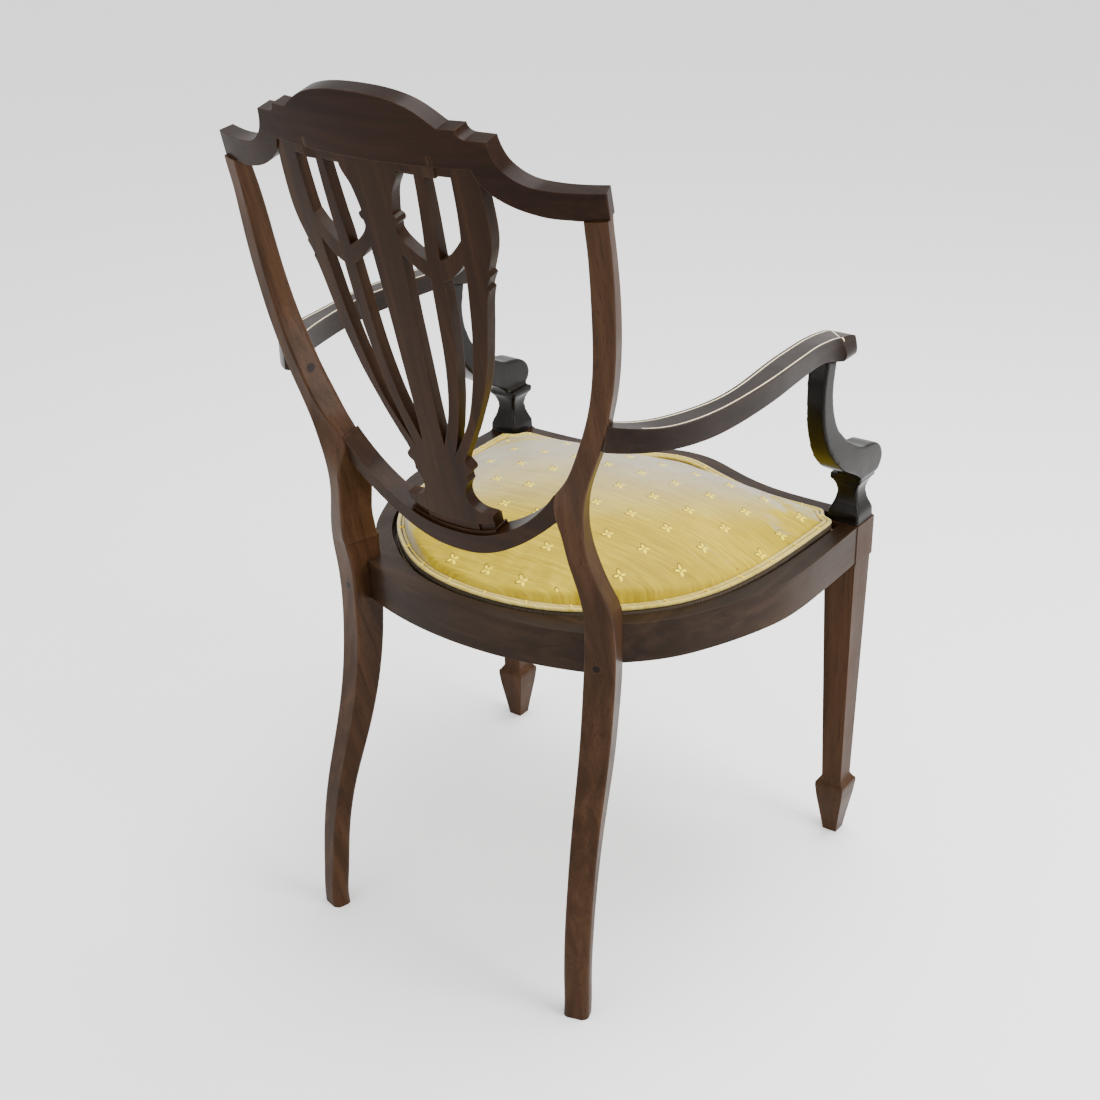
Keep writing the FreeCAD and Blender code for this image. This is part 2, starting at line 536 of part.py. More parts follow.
outer = half_edge + [("curve", base_pts)] + other + [("line", [(-top[0][0], top[0][1]), top[0]])]
holes = []


def both(loop):
    holes.append(loop)
    holes.append([(kind, flip(pts)) for kind, pts in reversed(loop)])


both([("curve", T["eye_in_cap"]), ("line", [T["eye_in_cap"][-1], T["eye_in_ring"][0]]), ("curve", T["eye_in_ring"]),
      ("line", [T["eye_in_ring"][-1], T["eye_in_swag"][0]]), ("curve", T["eye_in_swag"]),
      ("curve", [T["eye_in_swag"][-1]] + T["eye_in_bar"]), ("line", [T["eye_in_bar"][-1], T["eye_in_cap"][0]])])
both([("curve", T["eye_out_bar"]), ("curve", [T["eye_out_bar"][-1]] + T["eye_out_swag"]),
      ("curve", [T["eye_out_swag"][-1]] + T["eye_out_edge"]), ("line", [T["eye_out_edge"][-1], T["eye_out_bar"][0]])])
both([("curve", T["low_in_top"]), ("curve", [T["low_in_top"][-1]] + T["low_in_bar"]),
      ("curve", [T["low_in_bar"][-1]] + T["low_in_side"] + [T["low_in_top"][0]])])
both([("curve", T["low_out_top"]), ("curve", [T["low_out_top"][-1]] + T["low_out_edge"]),
      ("curve", [T["low_out_edge"][-1]] + T["low_out_side"] + [T["low_out_top"][0]])])
add_edges(sk, [outer] + holes)
pad(splat, sk, "splat_board", (240.0, None), midplane=True)
bowed(splat, "bow_crest", val("splat_recess"), val("splat_thick"), "splat")
back_frame(splat)

splat_plain = cut("splat_plain", splat, [crest])
splat_head = box("splat_head_tenon", (150, 6, 20), back_point(0, -7.5, line_up), TILT)
foot_up = lift((0, 528.2))[1]
splat_foot = box("splat_foot_tenon", (64, 6, 42), back_point(0, -7.5, foot_up - 10), TILT)

# -------------------------------------------------- bottom rail of shield
lower = new_body("lower_carved")
sk = new_sketch(lower, "lower_elevation", "XZ_Plane")
up, down = lifted("lower_up", K_LOWER), lifted("lower_down", K_LOWER)
root_pt = lift((144.0, 578.0), K_LOWER)
add_edges(sk, [[("curve", flip(up)[:-1] + up), ("line", [up[-1], root_pt, down[0]]),
                ("curve", down + flip(down)[1:]),
                ("line", [(-down[0][0], down[0][1]), (-root_pt[0], root_pt[1]), (-up[-1][0], up[-1][1])])]])
pad(lower, sk, "lower_board", (240.0, None), midplane=True)
bowed(lower, "bow_lower", 0.0, val("lower_thick"), "lower")
back_frame(lower)

# moulded shoe between the splat and the bottom rail: a cove over a bead
def shoe_strip(name, half, low, high, recess, thick):
    """Strip that follows the top of the bottom rail, from `low` to `high` above it."""
    strip = new_body(name)
    s = new_sketch(strip, name + "_elevation", "XZ_Plane")
    c = Part.BSplineCurve()
    c.interpolate([Vector(p[0], p[1], 0) for p in (flip(up)[:-1] + up)])
    rows = []
    for off in (low, high):
        line = []
        for i in range(9):
            x = -half + i * half / 4.0
            u = c.parameter(Vector(x, 20.0, 0))
            for _ in range(12):
                q = c.value(u)
                t = c.getD1(u)[1]
                u += (x - q.x) / t.x
            line.append((x, c.value(u).y + off))
        rows.append(line)
    add_edges(s, [[("curve", rows[0]), ("line", [rows[0][-1], rows[1][-1]]), ("curve", list(reversed(rows[1]))),
                   ("line", [rows[1][0], rows[0][0]])]])
    pad(strip, s, name + "_board", (240.0, None), midplane=True)
    bowed(strip, "bow_lower", recess, thick, name)
    back_frame(strip)
    return strip


shoe_cove = shoe_strip("shoe_cove", 51.0, -4.0, 17.0, val("shoe_recess") + 2.0, val("shoe_thick") - 4.0)
shoe_bead = shoe_strip("shoe_bead", 53.0, -4.0, 4.0, val("shoe_recess") - 1.0, val("shoe_thick") + 2.0)
shoe = fuse("shoe", [shoe_cove, shoe_bead])

# ------------------------------------------------- fitting the back pieces
lower_plain = cut("lower_plain", lower, [post_plain, post_right_raw])
lower_tenon_l = box("lower_tenon_left", (28, 9, 13), back_point(140.0, -19.0, lift((131, 575), K_LOWER)[1]), TILT,
                    {"Width": "sheet.tenon_thick"})
lower_tenon_r = box("lower_tenon_right", (28, 9, 13), back_point(-140.0, -19.0, lift((131, 575), K_LOWER)[1]), TILT,
                    {"Width": "sheet.tenon_thick"})
lower_tenoned = fuse("lower_tenoned", [lower_plain, lower_tenon_l, lower_tenon_r])
finish(cut("shield_bottom_rail", lower_tenoned, [splat_foot]), "shield_bottom_rail")
shoe_trim = cut("shoe_trim", shoe, [lower, splat])
finish(cut("splat_shoe", shoe_trim, [splat_foot]), "splat_shoe")
finish(fuse("splat", [splat_plain, splat_head, splat_foot]), "splat")
post_tenon_right = mirror("post_tenon_right", post_tenon)
finish(cut("crest_rail", crest, [splat_head, post_tenon, post_tenon_right]), "crest_rail")

# ------------------------------------------------------------- seat plan
S = val("seat_top")
H = val("rail_height")


def spline_samples(pts, n):
    c = Part.BSplineCurve()
    c.interpolate([Vector(p[0], p[1], 0) for p in pts])
    a, b = c.FirstParameter, c.LastParameter
    out = []
    for i in range(n + 1):
        u = a + (b - a) * i / n
        p = c.value(u)
        t = c.tangent(u)[0]
        out.append((p.x, p.y, t.x, t.y))
    return out


def offset_line(pts, d, n=28):
    """Offset to the right of travel by d."""
    return [(x + ty * d, y - tx * d) for x, y, tx, ty in spline_samples(pts, n)]


welt = table("welt_line")                                  # rear centre to front corner
full_welt = flip(welt)[:-1] + welt                         # from -X front corner round the rear to +X front corner
rebate = offset_line(full_welt, -val("gap_band"), 60)      # rebate wall, outside the welt
ledge = offset_line(full_welt, val("ledge_band"), 60)      # inner edge of the rails
# travelling from -X front corner backwards, the outside is to the left
side = table("side_out")
front = table("front_out")
front_full = flip(front)[:-1] + front                      # -X to +X


def clip(pts, test):
    return [p for p in pts if test(p)]


# rear rail: bowed outer face, drawn between the posts
rear_rail = new_body("rear_rail_shaped")
sk = new_sketch(rear_rail, "rear_rail_plan", "XY_Plane", (S - H, "sheet.seat_top - sheet.rail_height"))
radius_rear = 410.0
arc = [(-156 + i * 13.0, 231.5 - radius_rear + math.sqrt(radius_rear ** 2 - (-156 + i * 13.0) ** 2)) for i in range(25)]
inner_arc = clip(ledge, lambda p: p[1] > 128)
add_edges(sk, [[("curve", arc), ("line", [arc[-1], inner_arc[-1]]), ("curve", list(reversed(inner_arc))),
                ("line", [inner_arc[0], arc[0]])]])
pad(rear_rail, sk, "rear_rail_board", (H, "sheet.rail_height"))
sk = new_sketch(rear_rail, "rear_rail_rebate", "XY_Plane", (S, "sheet.seat_top"))
wall = clip(rebate, lambda p: p[1] > 60)
add_edges(sk, [[("curve", wall), ("line", [wall[-1], (0, 0), wall[0]])]])
f = rear_rail.newObject("PartDesign::Pocket", "rear_rail_rebate_cut")
f.Profile = sk
f.Length = val("rebate_depth")
f.setExpression("Length", "sheet.rebate_depth")
seat_frame(rear_rail)

# side rail
side_rail = new_body("side_rail_shaped")
sk = new_sketch(side_rail, "side_rail_plan", "XY_Plane", (S - H, "sheet.seat_top - sheet.rail_height"))
inner_side = clip(ledge, lambda p: p[0] > 0 and p[1] < 136)     # travels rear to front
add_edges(sk, [[("curve", side), ("line", [side[-1], inner_side[0]]), ("curve", inner_side),
                ("line", [inner_side[-1], (inner_side[-1][0], side[0][1]), side[0]])]])
pad(side_rail, sk, "side_rail_board", (H, "sheet.rail_height"))
sk = new_sketch(side_rail, "side_rail_rebate", "XY_Plane", (S, "sheet.seat_top"))
wall_side = clip(rebate, lambda p: p[0] > 0 and p[1] < 200)
wall_side = wall_side + [(wall_side[-1][0], -163.0)]
add_edges(sk, [[("curve", wall_side), ("line", [wall_side[-1], (100, -163.0), (60, 60), wall_side[0]])]])
f = side_rail.newObject("PartDesign::Pocket", "side_rail_rebate_cut")
f.Profile = sk
f.Length = val("rebate_depth")
f.setExpression("Length", "sheet.rebate_depth")
seat_frame(side_rail)

# front rail, serpentine
front_rail = new_body("front_rail_shaped")
sk = new_sketch(front_rail, "front_rail_plan", "XY_Plane", (S - H, "sheet.seat_top - sheet.rail_height"))
front_wall = offset_line(front_full, -20.0, 60)
front_back = offset_line(front_full, -32.5, 60)
add_edges(sk, [[("curve", front_full), ("line", [front_full[-1], front_back[-1]]), ("curve", list(reversed(front_back))),
                ("line", [front_back[0], front_full[0]])]])
pad(front_rail, sk, "front_rail_board", (H, "sheet.rail_height"))
sk = new_sketch(front_rail, "front_rail_rebate", "XY_Plane", (S, "sheet.seat_top"))
add_edges(sk, [[("curve", front_wall), ("line", [front_wall[-1], (218, -100), (-218, -100), front_wall[0]])]])
f = front_rail.newObject("PartDesign::Pocket", "front_rail_rebate_cut")
f.Profile = sk
f.Length = val("rebate_depth")
f.setExpression("Length", "sheet.rebate_depth")
seat_frame(front_rail)

# ------------------------------------------------------------- front legs
leg = new_body("leg_shaped")
bo, br, bs = val("block_outer"), val("block_rear"), val("block_size")
cx, cy = bo - bs / 2.0, br - bs / 2.0
sk = new_sketch(leg, "leg_block_plan", "XY_Plane", (S - val("block_height"), "sheet.seat_top - sheet.block_height"))
box_sketch(sk, (bo - bs, "sheet.block_outer - sheet.block_size"), (bo, "sheet.block_outer"),
           (br - bs, "sheet.block_rear - sheet.block_size"), (br, "sheet.block_rear"))
pad(leg, sk, "leg_block", (val("block_height"), "sheet.block_height"))


def square_at(name, size, size_expr, centre_x, centre_y, z, z_expr):
    s = new_sketch(leg, name, "XY_Plane", (z, z_expr))
    h = size / 2.0
    box_sketch(s, (centre_x - h, None), (centre_x + h, None), (centre_y - h, None), (centre_y + h, None))
    return s


nx, ny = 241.5, -182.0
a = square_at("leg_top_plan", val("leg_top_size"), None, 237.6, -182.0, S - val("block_height"),
              "sheet.seat_top - sheet.block_height")
b = square_at("leg_neck_plan", val("leg_neck_size"), None, nx, ny, val("leg_neck_z"), "sheet.leg_neck_z")
f = leg.newObject("PartDesign::AdditiveLoft", "leg_taper")
f.Profile = a
f.Sections = [(b, [""])]
f.Ruled = True
levels = [(val("leg_neck_z"), val("leg_neck_size")), (val("leg_neck_z") - 2.0, 26.4),
          (val("leg_neck_z") - 5.5, 30.6), (val("spade_top") + 4.5, 34.6)]
prev = None
collar = []
for i, (z, size) in enumerate(levels):
    collar.append(square_at("collar_plan_%d" % i, size, None, nx, ny, z, None))
f = leg.newObject("PartDesign::AdditiveLoft", "leg_collar")
f.Profile = collar[0]
f.Sections = [(s, [""]) for s in collar[1:]]
f.Ruled = True
spade_levels = [(val("spade_top") + 4.5, val("spade_size") - 0.6), (val("spade_top"), val("spade_size")),
                (50.0, 33.2), (34.0, 28.2), (17.0, 22.8), (0.0, val("spade_foot"))]
spade = []
for i, (z, size) in enumerate(spade_levels):
    spade.append(square_at("spade_plan_%d" % i, size, None, nx, ny, z, None))
f = leg.newObject("PartDesign::AdditiveLoft", "leg_spade")
f.Profile = spade[0]
f.Sections = [(s, [""]) for s in spade[1:]]
f.Ruled = True
seat_frame(leg)

# ------------------------------------------------------------ arm support
sup = new_body("support_shaped")
sc = 244.6
sk = new_sketch(sup, "support_side", "YZ_Plane", (sc - 15.5, None))
sf, sr = table("sup_front"), table("sup_rear")
add_edges(sk, [[("curve", sf), ("line", [sf[-1], sr[0]]), ("curve", sr), ("line", [sr[-1], sf[0]])]])
pad(sup, sk, "support_board", (val("support_thick"), "sheet.support_thick"))
wide = table("sup_wide")
for tag, sign in (("inner", -1), ("outer", 1)):
    sk = new_sketch(sup, "support_taper_" + tag, "XZ_Plane")
    edge = [(sc + sign * w, z) for w, z in wide]
    far = sc + sign * 40.0
    add_edges(sk, [[("curve", edge), ("line", [edge[-1], (far, edge[-1][1]), (far, edge[0][1]), edge[0]])]])
    pocket_all(sup, sk, "support_trim_" + tag)
seat_frame(sup)
sup_cut_top = val("arm_top")

ped = new_body("pedestal_shaped")
sk = new_sketch(ped, "pedestal_plan", "XY_Plane", (S, "sheet.seat_top"))
box_sketch(sk, (bo - bs, "sheet.block_outer - sheet.block_size"), (bo, "sheet.block_outer"),
           (br - bs, "sheet.block_rear - sheet.block_size"), (br, "sheet.block_rear"))
pad(ped, sk, "pedestal_block", (58.5, None))
prof = table("ped_wide")
for tag, sign in (("minus", -1), ("plus", 1)):
    for plane, centre, role in (("x", cx, "XZ_Plane"), ("y", cy, "YZ_Plane")):
        sk = new_sketch(ped, "pedestal_profile_%s_%s" % (plane, tag), role)
        edge = [(centre + sign * w, z) for w, z in prof]
        far = centre + sign * 40.0
        e0 = (centre + sign * 21.0, prof[0][1])
        e1 = (centre + sign * 19.0, prof[-1][1])
        e2 = (centre + sign * 19.0, 500.0)
        add_edges(sk, [[("line", [e0, edge[0]]), ("curve", edge), ("line", [edge[-1], e1, e2, (far, 500.0),
                                                                          (far, prof[0][1]), e0])]])
        pocket_all(ped, sk, "pedestal_trim_%s_%s" % (plane, tag))
seat_frame(ped)

ys = val("frame_shift")
pin_low = rod("support_pin", val("pin_dia"), val("pin_len") + 8.0, (cx, cy + ys, S - val("pin_len")), (0, 0, 1),
              "sheet.pin_dia")
pin_high = rod("support_top_pin", val("top_pin_dia"), 22.0, (sc, -80.0 + ys, 636.0), (0, 0, 1), "sheet.top_pin_dia")

# -------------------------------------------------------------------- arm
arm = new_body("arm_shaped")
sk = new_sketch(arm, "arm_plan", "XY_Plane", (600.0, None))
ao, ai = table("arm_out"), table("arm_in")
add_edges(sk, [[("curve", ao), ("line", [ao[-1], (188.4, 251.0), (183.6, 233.6), ai[0]]), ("curve", ai),
                ("line", [ai[-1], ao[0]])]])
pad(arm, sk, "arm_board", (120.0, None))
au, an = table("arm_upper"), table("arm_under")
sk = new_sketch(arm, "arm_side_above", "YZ_Plane")
nose = [(-121, 663.6), (-123.4, 655.4), (-121, 646.5)]
add_edges(sk, [[("curve", au), ("line", [au[-1], (-200, 655.0), (-200, 760), (300, 760), (300, 680), au[0]])]])
pocket_all(arm, sk, "arm_trim_above")
sk = new_sketch(arm, "arm_side_below", "YZ_Plane")
add_edges(sk, [[("curve", an), ("line", [an[-1], (300, 654), (300, 560), (-200, 560), (-200, 655), au[-1]]),
                ("curve", [au[-1], nose[1], an[0]])]])
pocket_all(arm, sk, "arm_trim_below")
seat_frame(arm)

roll = new_body("arm_roll_shaped")
sk = new_sketch(roll, "arm_roll_front", "XZ_Plane", (88.0, None))
rl = table("arm_roll")
add_edges(sk, [[("curve", rl), ("line", [rl[-1], (257.6, 620), (290, 620), (290, 700), (256.4, 700), rl[0]])]])
pad(roll, sk, "arm_roll_waste", (60.0, None))
seat_frame(roll)
arm_fitted = cut("arm_fitted", arm, [post_plain, roll])
# string inlay: strips that follow the arm's edges, a skin deep
strings = []
for tag, line, d in (("outer", ao[1:], 3.2), ("inner", list(reversed(ai))[1:], -3.2)):
    sb = new_body("string_strip_" + tag)
    sk = new_sketch(sb, "string_plan_" + tag, "XY_Plane", (600.0, None))
    w = val("string_width") / 2.0
    sgn = 1.0 if d > 0 else -1.0
    pts = [p for p in line if p[1] < 236]
    a_line = offset_line(pts, -(d - sgn * w), 60)
    b_line = offset_line(pts, -(d + sgn * w), 60)
    add_edges(sk, [[("curve", a_line), ("line", [a_line[-1], b_line[-1]]), ("curve", list(reversed(b_line))),
                    ("line", [b_line[0], a_line[0]])]])
    pad(sb, sk, "string_board_" + tag, (120.0, None))
    seat_frame(sb)
    strings.append(sb)
cross = box("string_cross", (27.0, val("string_width"), 60), (244.6, -103.6 + ys, 660),
            Rotation(Vector(0, 0, 1), 46.0), {"Width": "sheet.string_width"})
string_all = fuse("string_all", strings + [cross])
string_in = common("string_in", [string_all, arm_fitted])
lowered = doc.addObject("Part::Feature", "arm_lowered")


def check(obj):
    bad = [s for s in obj.State if s in ("Invalid", "Error")]
    if bad or obj.Shape.isNull() or not obj.Shape.isValid():
        raise RuntimeError("%s failed: %s" % (obj.Name, obj.State))


doc.recompute()
lowered.Shape = arm_fitted.Shape.copy()
lowered.Placement = Placement(Vector(0, 0, -val("string_depth")), Rotation()).multiply(lowered.Placement)
string_left = finish(cut("arm_stringing_left", string_in, [lowered]), "arm_stringing_left")
# the support runs up to the underside of the arm and stands on the pedestal
sup_trim = cut("support_trimmed", sup, [arm, ped])
support_left = finish(fuse("arm_support_left", [sup_trim, ped, pin_low, pin_high]), "arm_support_left")

# arm screw, driven from inside the post and covered by a plug
aim = Vector(0.80, -0.60, 0.0)
start = Vector(168.0, 246.0 + ys, 657.0)
screw_hole = rod("arm_screw_hole", val("screw_dia"), 62.0, tuple(start + aim * 2.0), tuple(aim), "sheet.screw_dia")
head_hole = rod("arm_head_hole", val("plug_dia"), 16.0, tuple(start - aim * 8.0), tuple(aim), "sheet.plug_dia")
arm_left = finish(cut("arm_left", arm_fitted, [string_left, screw_hole, pin_high]), "arm_left")

head = rod("arm_screw_head", val("head_dia"), 3.0, tuple(start + aim * 5.0), tuple(aim), "sheet.head_dia")
shank = rod("arm_screw_shank", val("screw_dia"), 56.0, tuple(start + aim * 8.0), tuple(aim), "sheet.screw_dia")
arm_screw = fuse("arm_screw", [head, shank])
plug_raw = rod("arm_plug_raw", val("plug_dia"), 13.0, tuple(start - aim * 8.0), tuple(aim), "sheet.plug_dia")
arm_plug = common("arm_plug", [plug_raw, post_plain])

# plug on the rear face of the leg over the rail screw
leg_aim = Vector(-0.27, -0.963, 0.0)
leg_start = Vector(164.0, 223.0 + ys, 398.0)
leg_hole = rod("rail_plug_hole", val("plug_dia"), 22.0, tuple(leg_start - leg_aim * 8.0), tuple(leg_aim), "sheet.plug_dia")
leg_plug = common("leg_plug", [rod("leg_plug_raw", val("plug_dia"), 16.0, tuple(leg_start - leg_aim * 8.0),
                                   tuple(leg_aim), "sheet.plug_dia"), post_plain])
rail_head = rod("rail_screw_head", val("head_dia"), 3.0, tuple(leg_start + leg_aim * 8.0), tuple(leg_aim), "sheet.head_dia")
rail_shank = rod("rail_screw_shank", val("screw_dia"), 51.0, tuple(leg_start + leg_aim * 10.0), tuple(leg_aim),
                 "sheet.screw_dia")
rail_shank_hole = rod("rail_shank_hole", val("screw_dia"), 50.0, tuple(leg_start + leg_aim * 11.0), tuple(leg_aim),
                      "sheet.screw_dia")
rail_screw = fuse("rail_screw", [rail_head, rail_shank])

# ------------------------------------------------------- fitting the seat
tz = S - H / 2.0
rear_fit = cut("rear_rail_fit", rear_rail, [post_plain, post_right_raw, side_rail, mirror("side_rail_r_raw", side_rail)])
rt_l = box("rear_tenon_left", (34, 9, 30), (147, 199 + ys, tz), Rotation(Vector(0, 0, 1), -18),
           {"Width": "sheet.tenon_thick"})
rt_r = box("rear_tenon_right", (34, 9, 30), (-147, 199 + ys, tz), Rotation(Vector(0, 0, 1), 18),
           {"Width": "sheet.tenon_thick"})
side_fit = cut("side_rail_fit", side_rail, [post_plain, leg])
st_f = box("side_tenon_front", (9, 40, 30), (243, -163 + ys, tz), None, {"Length": "sheet.tenon_thick"})
st_r = box("side_tenon_rear", (9, 34, 30), (155, 168.5 + ys, tz), Rotation(Vector(0, 0, 1), 8),
           {"Length": "sheet.tenon_thick"})
front_fit = cut("front_rail_fit", front_rail, [leg, mirror("leg_r_raw", leg)])
ft_l = box("front_tenon_left", (38, 9, 30), (221, -185 + ys, tz), None, {"Width": "sheet.tenon_thick"})
ft_r = box("front_tenon_right", (38, 9, 30), (-221, -185 + ys, tz), None, {"Width": "sheet.tenon_thick"})
st_f_keep = cut("side_tenon_front_fit", st_f, [pin_low])
front_tenons = fuse("front_tenons", [ft_l, ft_r])
front_tenons_fit = cut("front_tenons_fit", front_tenons, [st_f, mirror("st_f_mirror", st_f), pin_low,
                                                          mirror("pin_mirror", pin_low)])
rear_tenons = fuse("rear_tenons", [rt_l, rt_r])
side_tenons = fuse("side_tenons", [st_f_keep, cut("side_tenon_rear_fit", st_r, [rear_tenons])])

rear_all = fuse("rear_rail_all", [rear_fit, rear_tenons])
side_all = fuse("side_rail_all", [side_fit, side_tenons])
front_all = fuse("front_rail_all", [front_fit, front_tenons_fit])
side_keep = cut("side_rail_clear", side_all, [rail_shank_hole])
side_left = finish(cut("side_seat_rail_left", side_keep, [rear_all]), "side_seat_rail_left")
finish(cut("rear_seat_rail", rear_all, [rail_shank_hole, mirror("rail_shank_r", rail_shank_hole)]), "rear_seat_rail")
finish(front_all, "front_seat_rail")
front_leg_left = finish(cut("front_leg_left", leg, [side_all, front_all, pin_low]), "front_leg_left")
post_left = finish(cut("rear_post_left", post_solid, [lower_tenoned, side_all, rear_all, head_hole, screw_hole,
                                                      leg_hole, rail_shank_hole]), "rear_post_left")

# ---------------------------------------------------------- corner blocks
blocks = []
for tag, poly in (("front", [(186, -150), (214, -150), (222, -128), (222, -96), (150, -164), (172, -167)]),
                  ("rear", [(96, 168), (118, 152), (142, 130), (160, 112), (140, 96), (84, 146)])):
    bb = new_body("corner_block_shape_" + tag)
    sk = new_sketch(bb, "corner_block_plan_" + tag, "XY_Plane", (S - 40.0, "sheet.seat_top - 40"))
    add_edges(sk, [[("line", poly + [poly[0]])]])
    pad(bb, sk, "corner_block_board_" + tag, (24.0, None))
    seat_frame(bb)
    tools = [side_all, front_all, leg] if tag == "front" else [side_all, rear_all, post_plain]
    blocks.append(cut("corner_block_fit_" + tag, bb, tools))

# screws in the corner blocks
screws = []
for tag, spots in (("front", [((196, -118), (0.98, 0.2, 0)), ((178, -140), (0.1, -0.995, 0))]),
                   ("rear", [((124, 118), (0.72, 0.69, 0)), ((104, 134), (0.45, 0.89, 0))])):
    for j, ((x, y), d) in enumerate(spots):
        dv = Vector(*d)
        dv.normalize()
        p = Vector(x, y + ys, S - 28.0)
        h1 = rod("block_screw_head_%s_%d" % (tag, j), 8.0, 3.0, tuple(p), tuple(dv), None)
        h2 = rod("block_screw_shank_%s_%d" % (tag, j), 4.0, 34.0, tuple(p + dv * 3.0), tuple(dv), None)
        screws.append(fuse("block_screw_%s_%d" % (tag, j), [h1, h2]))

# --------------------------------------------------------------- the seat
# welt path: rear and sides from the welt line, notched round the leg block, then the serpentine front
notch = 3.0
nxo, nyo = bo - bs - notch, br + notch


def seat_loop(inset):
    """Closed plan loop of the seat, inset from the welt line."""
    rear_side = offset_line(full_welt, inset, 70)
    y_side = nyo + inset
    rear_side = [p for p in rear_side if p[1] > y_side + 1.0]
    rear_side[0] = (rear_side[0][0], y_side)
    rear_side[-1] = (rear_side[-1][0], y_side)
    rear_side[0] = (-rear_side[-1][0], y_side)
    f_line = offset_line(front_full, -(20.0 + val("gap_band") + inset), 70)
    x_in = nxo - inset
    f_line = [p for p in f_line if abs(p[0]) < x_in - 1.0]
    y_end = f_line[-1][1]
    f_line = [(-x_in, y_end)] + f_line + [(x_in, y_end)]
    return [("curve", rear_side), ("line", [rear_side[-1], (x_in, y_side), (x_in, y_end)]),
            ("curve", list(reversed(f_line))), ("line", [(-x_in, y_end), (-x_in, y_side), rear_side[0]])]


def seat_prism(name, inset, low, high, low_expr=None, len_expr=None):
    bd = new_body(name)
    s = new_sketch(bd, name + "_plan", "XY_Plane", (low, low_expr))
    add_edges(s, [seat_loop(inset)])
    pad(bd, s, name + "_slab", (high - low, len_expr))
    seat_frame(bd)
    return bd


ledge_z = S - val("rebate_depth")
web = val("web_thick")
hes = val("hessian_thick")
web_zone = seat_prism("webbing_zone", 1.0, ledge_z - 1.0, ledge_z + 6.0)
straps = []
for i, x in enumerate((-135.0, -67.5, 0.0, 67.5, 135.0)):
    straps.append(box("strap_long_%d" % i, (val("web_width"), 480, web), (x, -10 + ys, ledge_z + web / 2.0), None,
                      {"Length": "sheet.web_width", "Height": "sheet.web_thick"}))
for i, y in enumerate((-120.0, -45.0, 30.0, 105.0)):
    straps.append(box("strap_cross_%d" % i, (480, val("web_width"), web), (0, y + ys, ledge_z + web * 1.5), None,
                      {"Width": "sheet.web_width", "Height": "sheet.web_thick"}))
long_common = common("webbing_long", [web_zone, fuse("straps_long", straps[:5])])
cross_common = common("webbing_cross", [web_zone, fuse("straps_cross", straps[5:])])

hess_low = ledge_z + 2.0 * web
hessian = seat_prism("seat_hessian", 0.6, hess_low, hess_low + hes)
pad_low = hess_low + hes
cover_t = val("cover_thick")


def crown(name, inset):
    """Pillow top: two crossed barrels, the same radius both ways."""
    barrels = []
    for tag, axis, at in (("long", Vector(0, 1, 0), (0.0, -400.0)), ("wide", Vector(1, 0, 0), (-400.0, ys + 4.0))):
        c = doc.addObject("Part::Cylinder", name + "_" + tag)
        c.Radius = val("crown_radius") - inset
        c.setExpression("Radius", "sheet.crown_radius - %s" % ("sheet.cover_thick" if inset else "0"))
        c.Height = 800.0
        c.Placement = Placement(Vector(at[0], at[1], val("crown_top") - val("crown_radius")),
                                Rotation(Vector(0, 0, 1), axis))
        barrels.append(c)
    return barrels


outer_prism = seat_prism("cover_zone", val("welt_band"), pad_low, 480.0)
inner_prism = seat_prism("stuffing_zone", val("welt_band") + cover_t, pad_low, 480.0)
cover_solid = common("cover_solid", [outer_prism] + crown("crown_cover", 0.0))
stuffing = common("seat_stuffing", [inner_prism] + crown("crown_stuffing", cover_t))
cover = cut("seat_cover", cover_solid, [stuffing])
welt_out = seat_prism("welt_zone", 0.6, pad_low, val("welt_top"))
piping = cut("seat_piping", welt_out, [outer_prism])

doc.recompute()

# webbing: two layers gathered in one node
webbing = doc.addObject("Part::Compound", "seat_webbing")
webbing.Links = [long_common, cross_common]
for label, obj in (("seat_webbing", webbing), ("seat_hessian", hessian), ("seat_stuffing", stuffing),
                   ("seat_cover", cover), ("seat_piping", piping)):
    finish(obj, label)

# pairs
corner_front_l = cut("corner_block_front_left", blocks[0], screws[:2])
corner_rear_l = cut("corner_block_rear_left", blocks[1], screws[2:])
finish(corner_front_l, "corner_block_front_left")
finish(corner_rear_l, "corner_block_rear_left")
for name, src in (("rear_post_right", post_left), ("front_leg_right", front_leg_left), ("side_seat_rail_right", side_left),
                  ("arm_right", arm_left), ("arm_support_right", support_left), ("arm_stringing_right", string_left),
                  ("corner_block_front_right", corner_front_l), ("corner_block_rear_right", corner_rear_l)):
    finish(mirror(name, src), name)

gather = {
    "arm_screws": [arm_screw, mirror("arm_screw_r", arm_screw)],
    "rail_screws": [rail_screw, mirror("rail_screw_r", rail_screw)],
    "corner_block_screws": [],
    "screw_plugs": [arm_plug, mirror("arm_plug_r", arm_plug), leg_plug, mirror("leg_plug_r", leg_plug)],
}
for i, s in enumerate(screws):
    gather["corner_block_screws"] += [s, mirror("block_screw_r_%d" % i, s)]
for name in sorted(gather):
    g = doc.addObject("Part::Compound", name)
    g.Links = gather[name]
    finish(g, name)

doc.recompute()

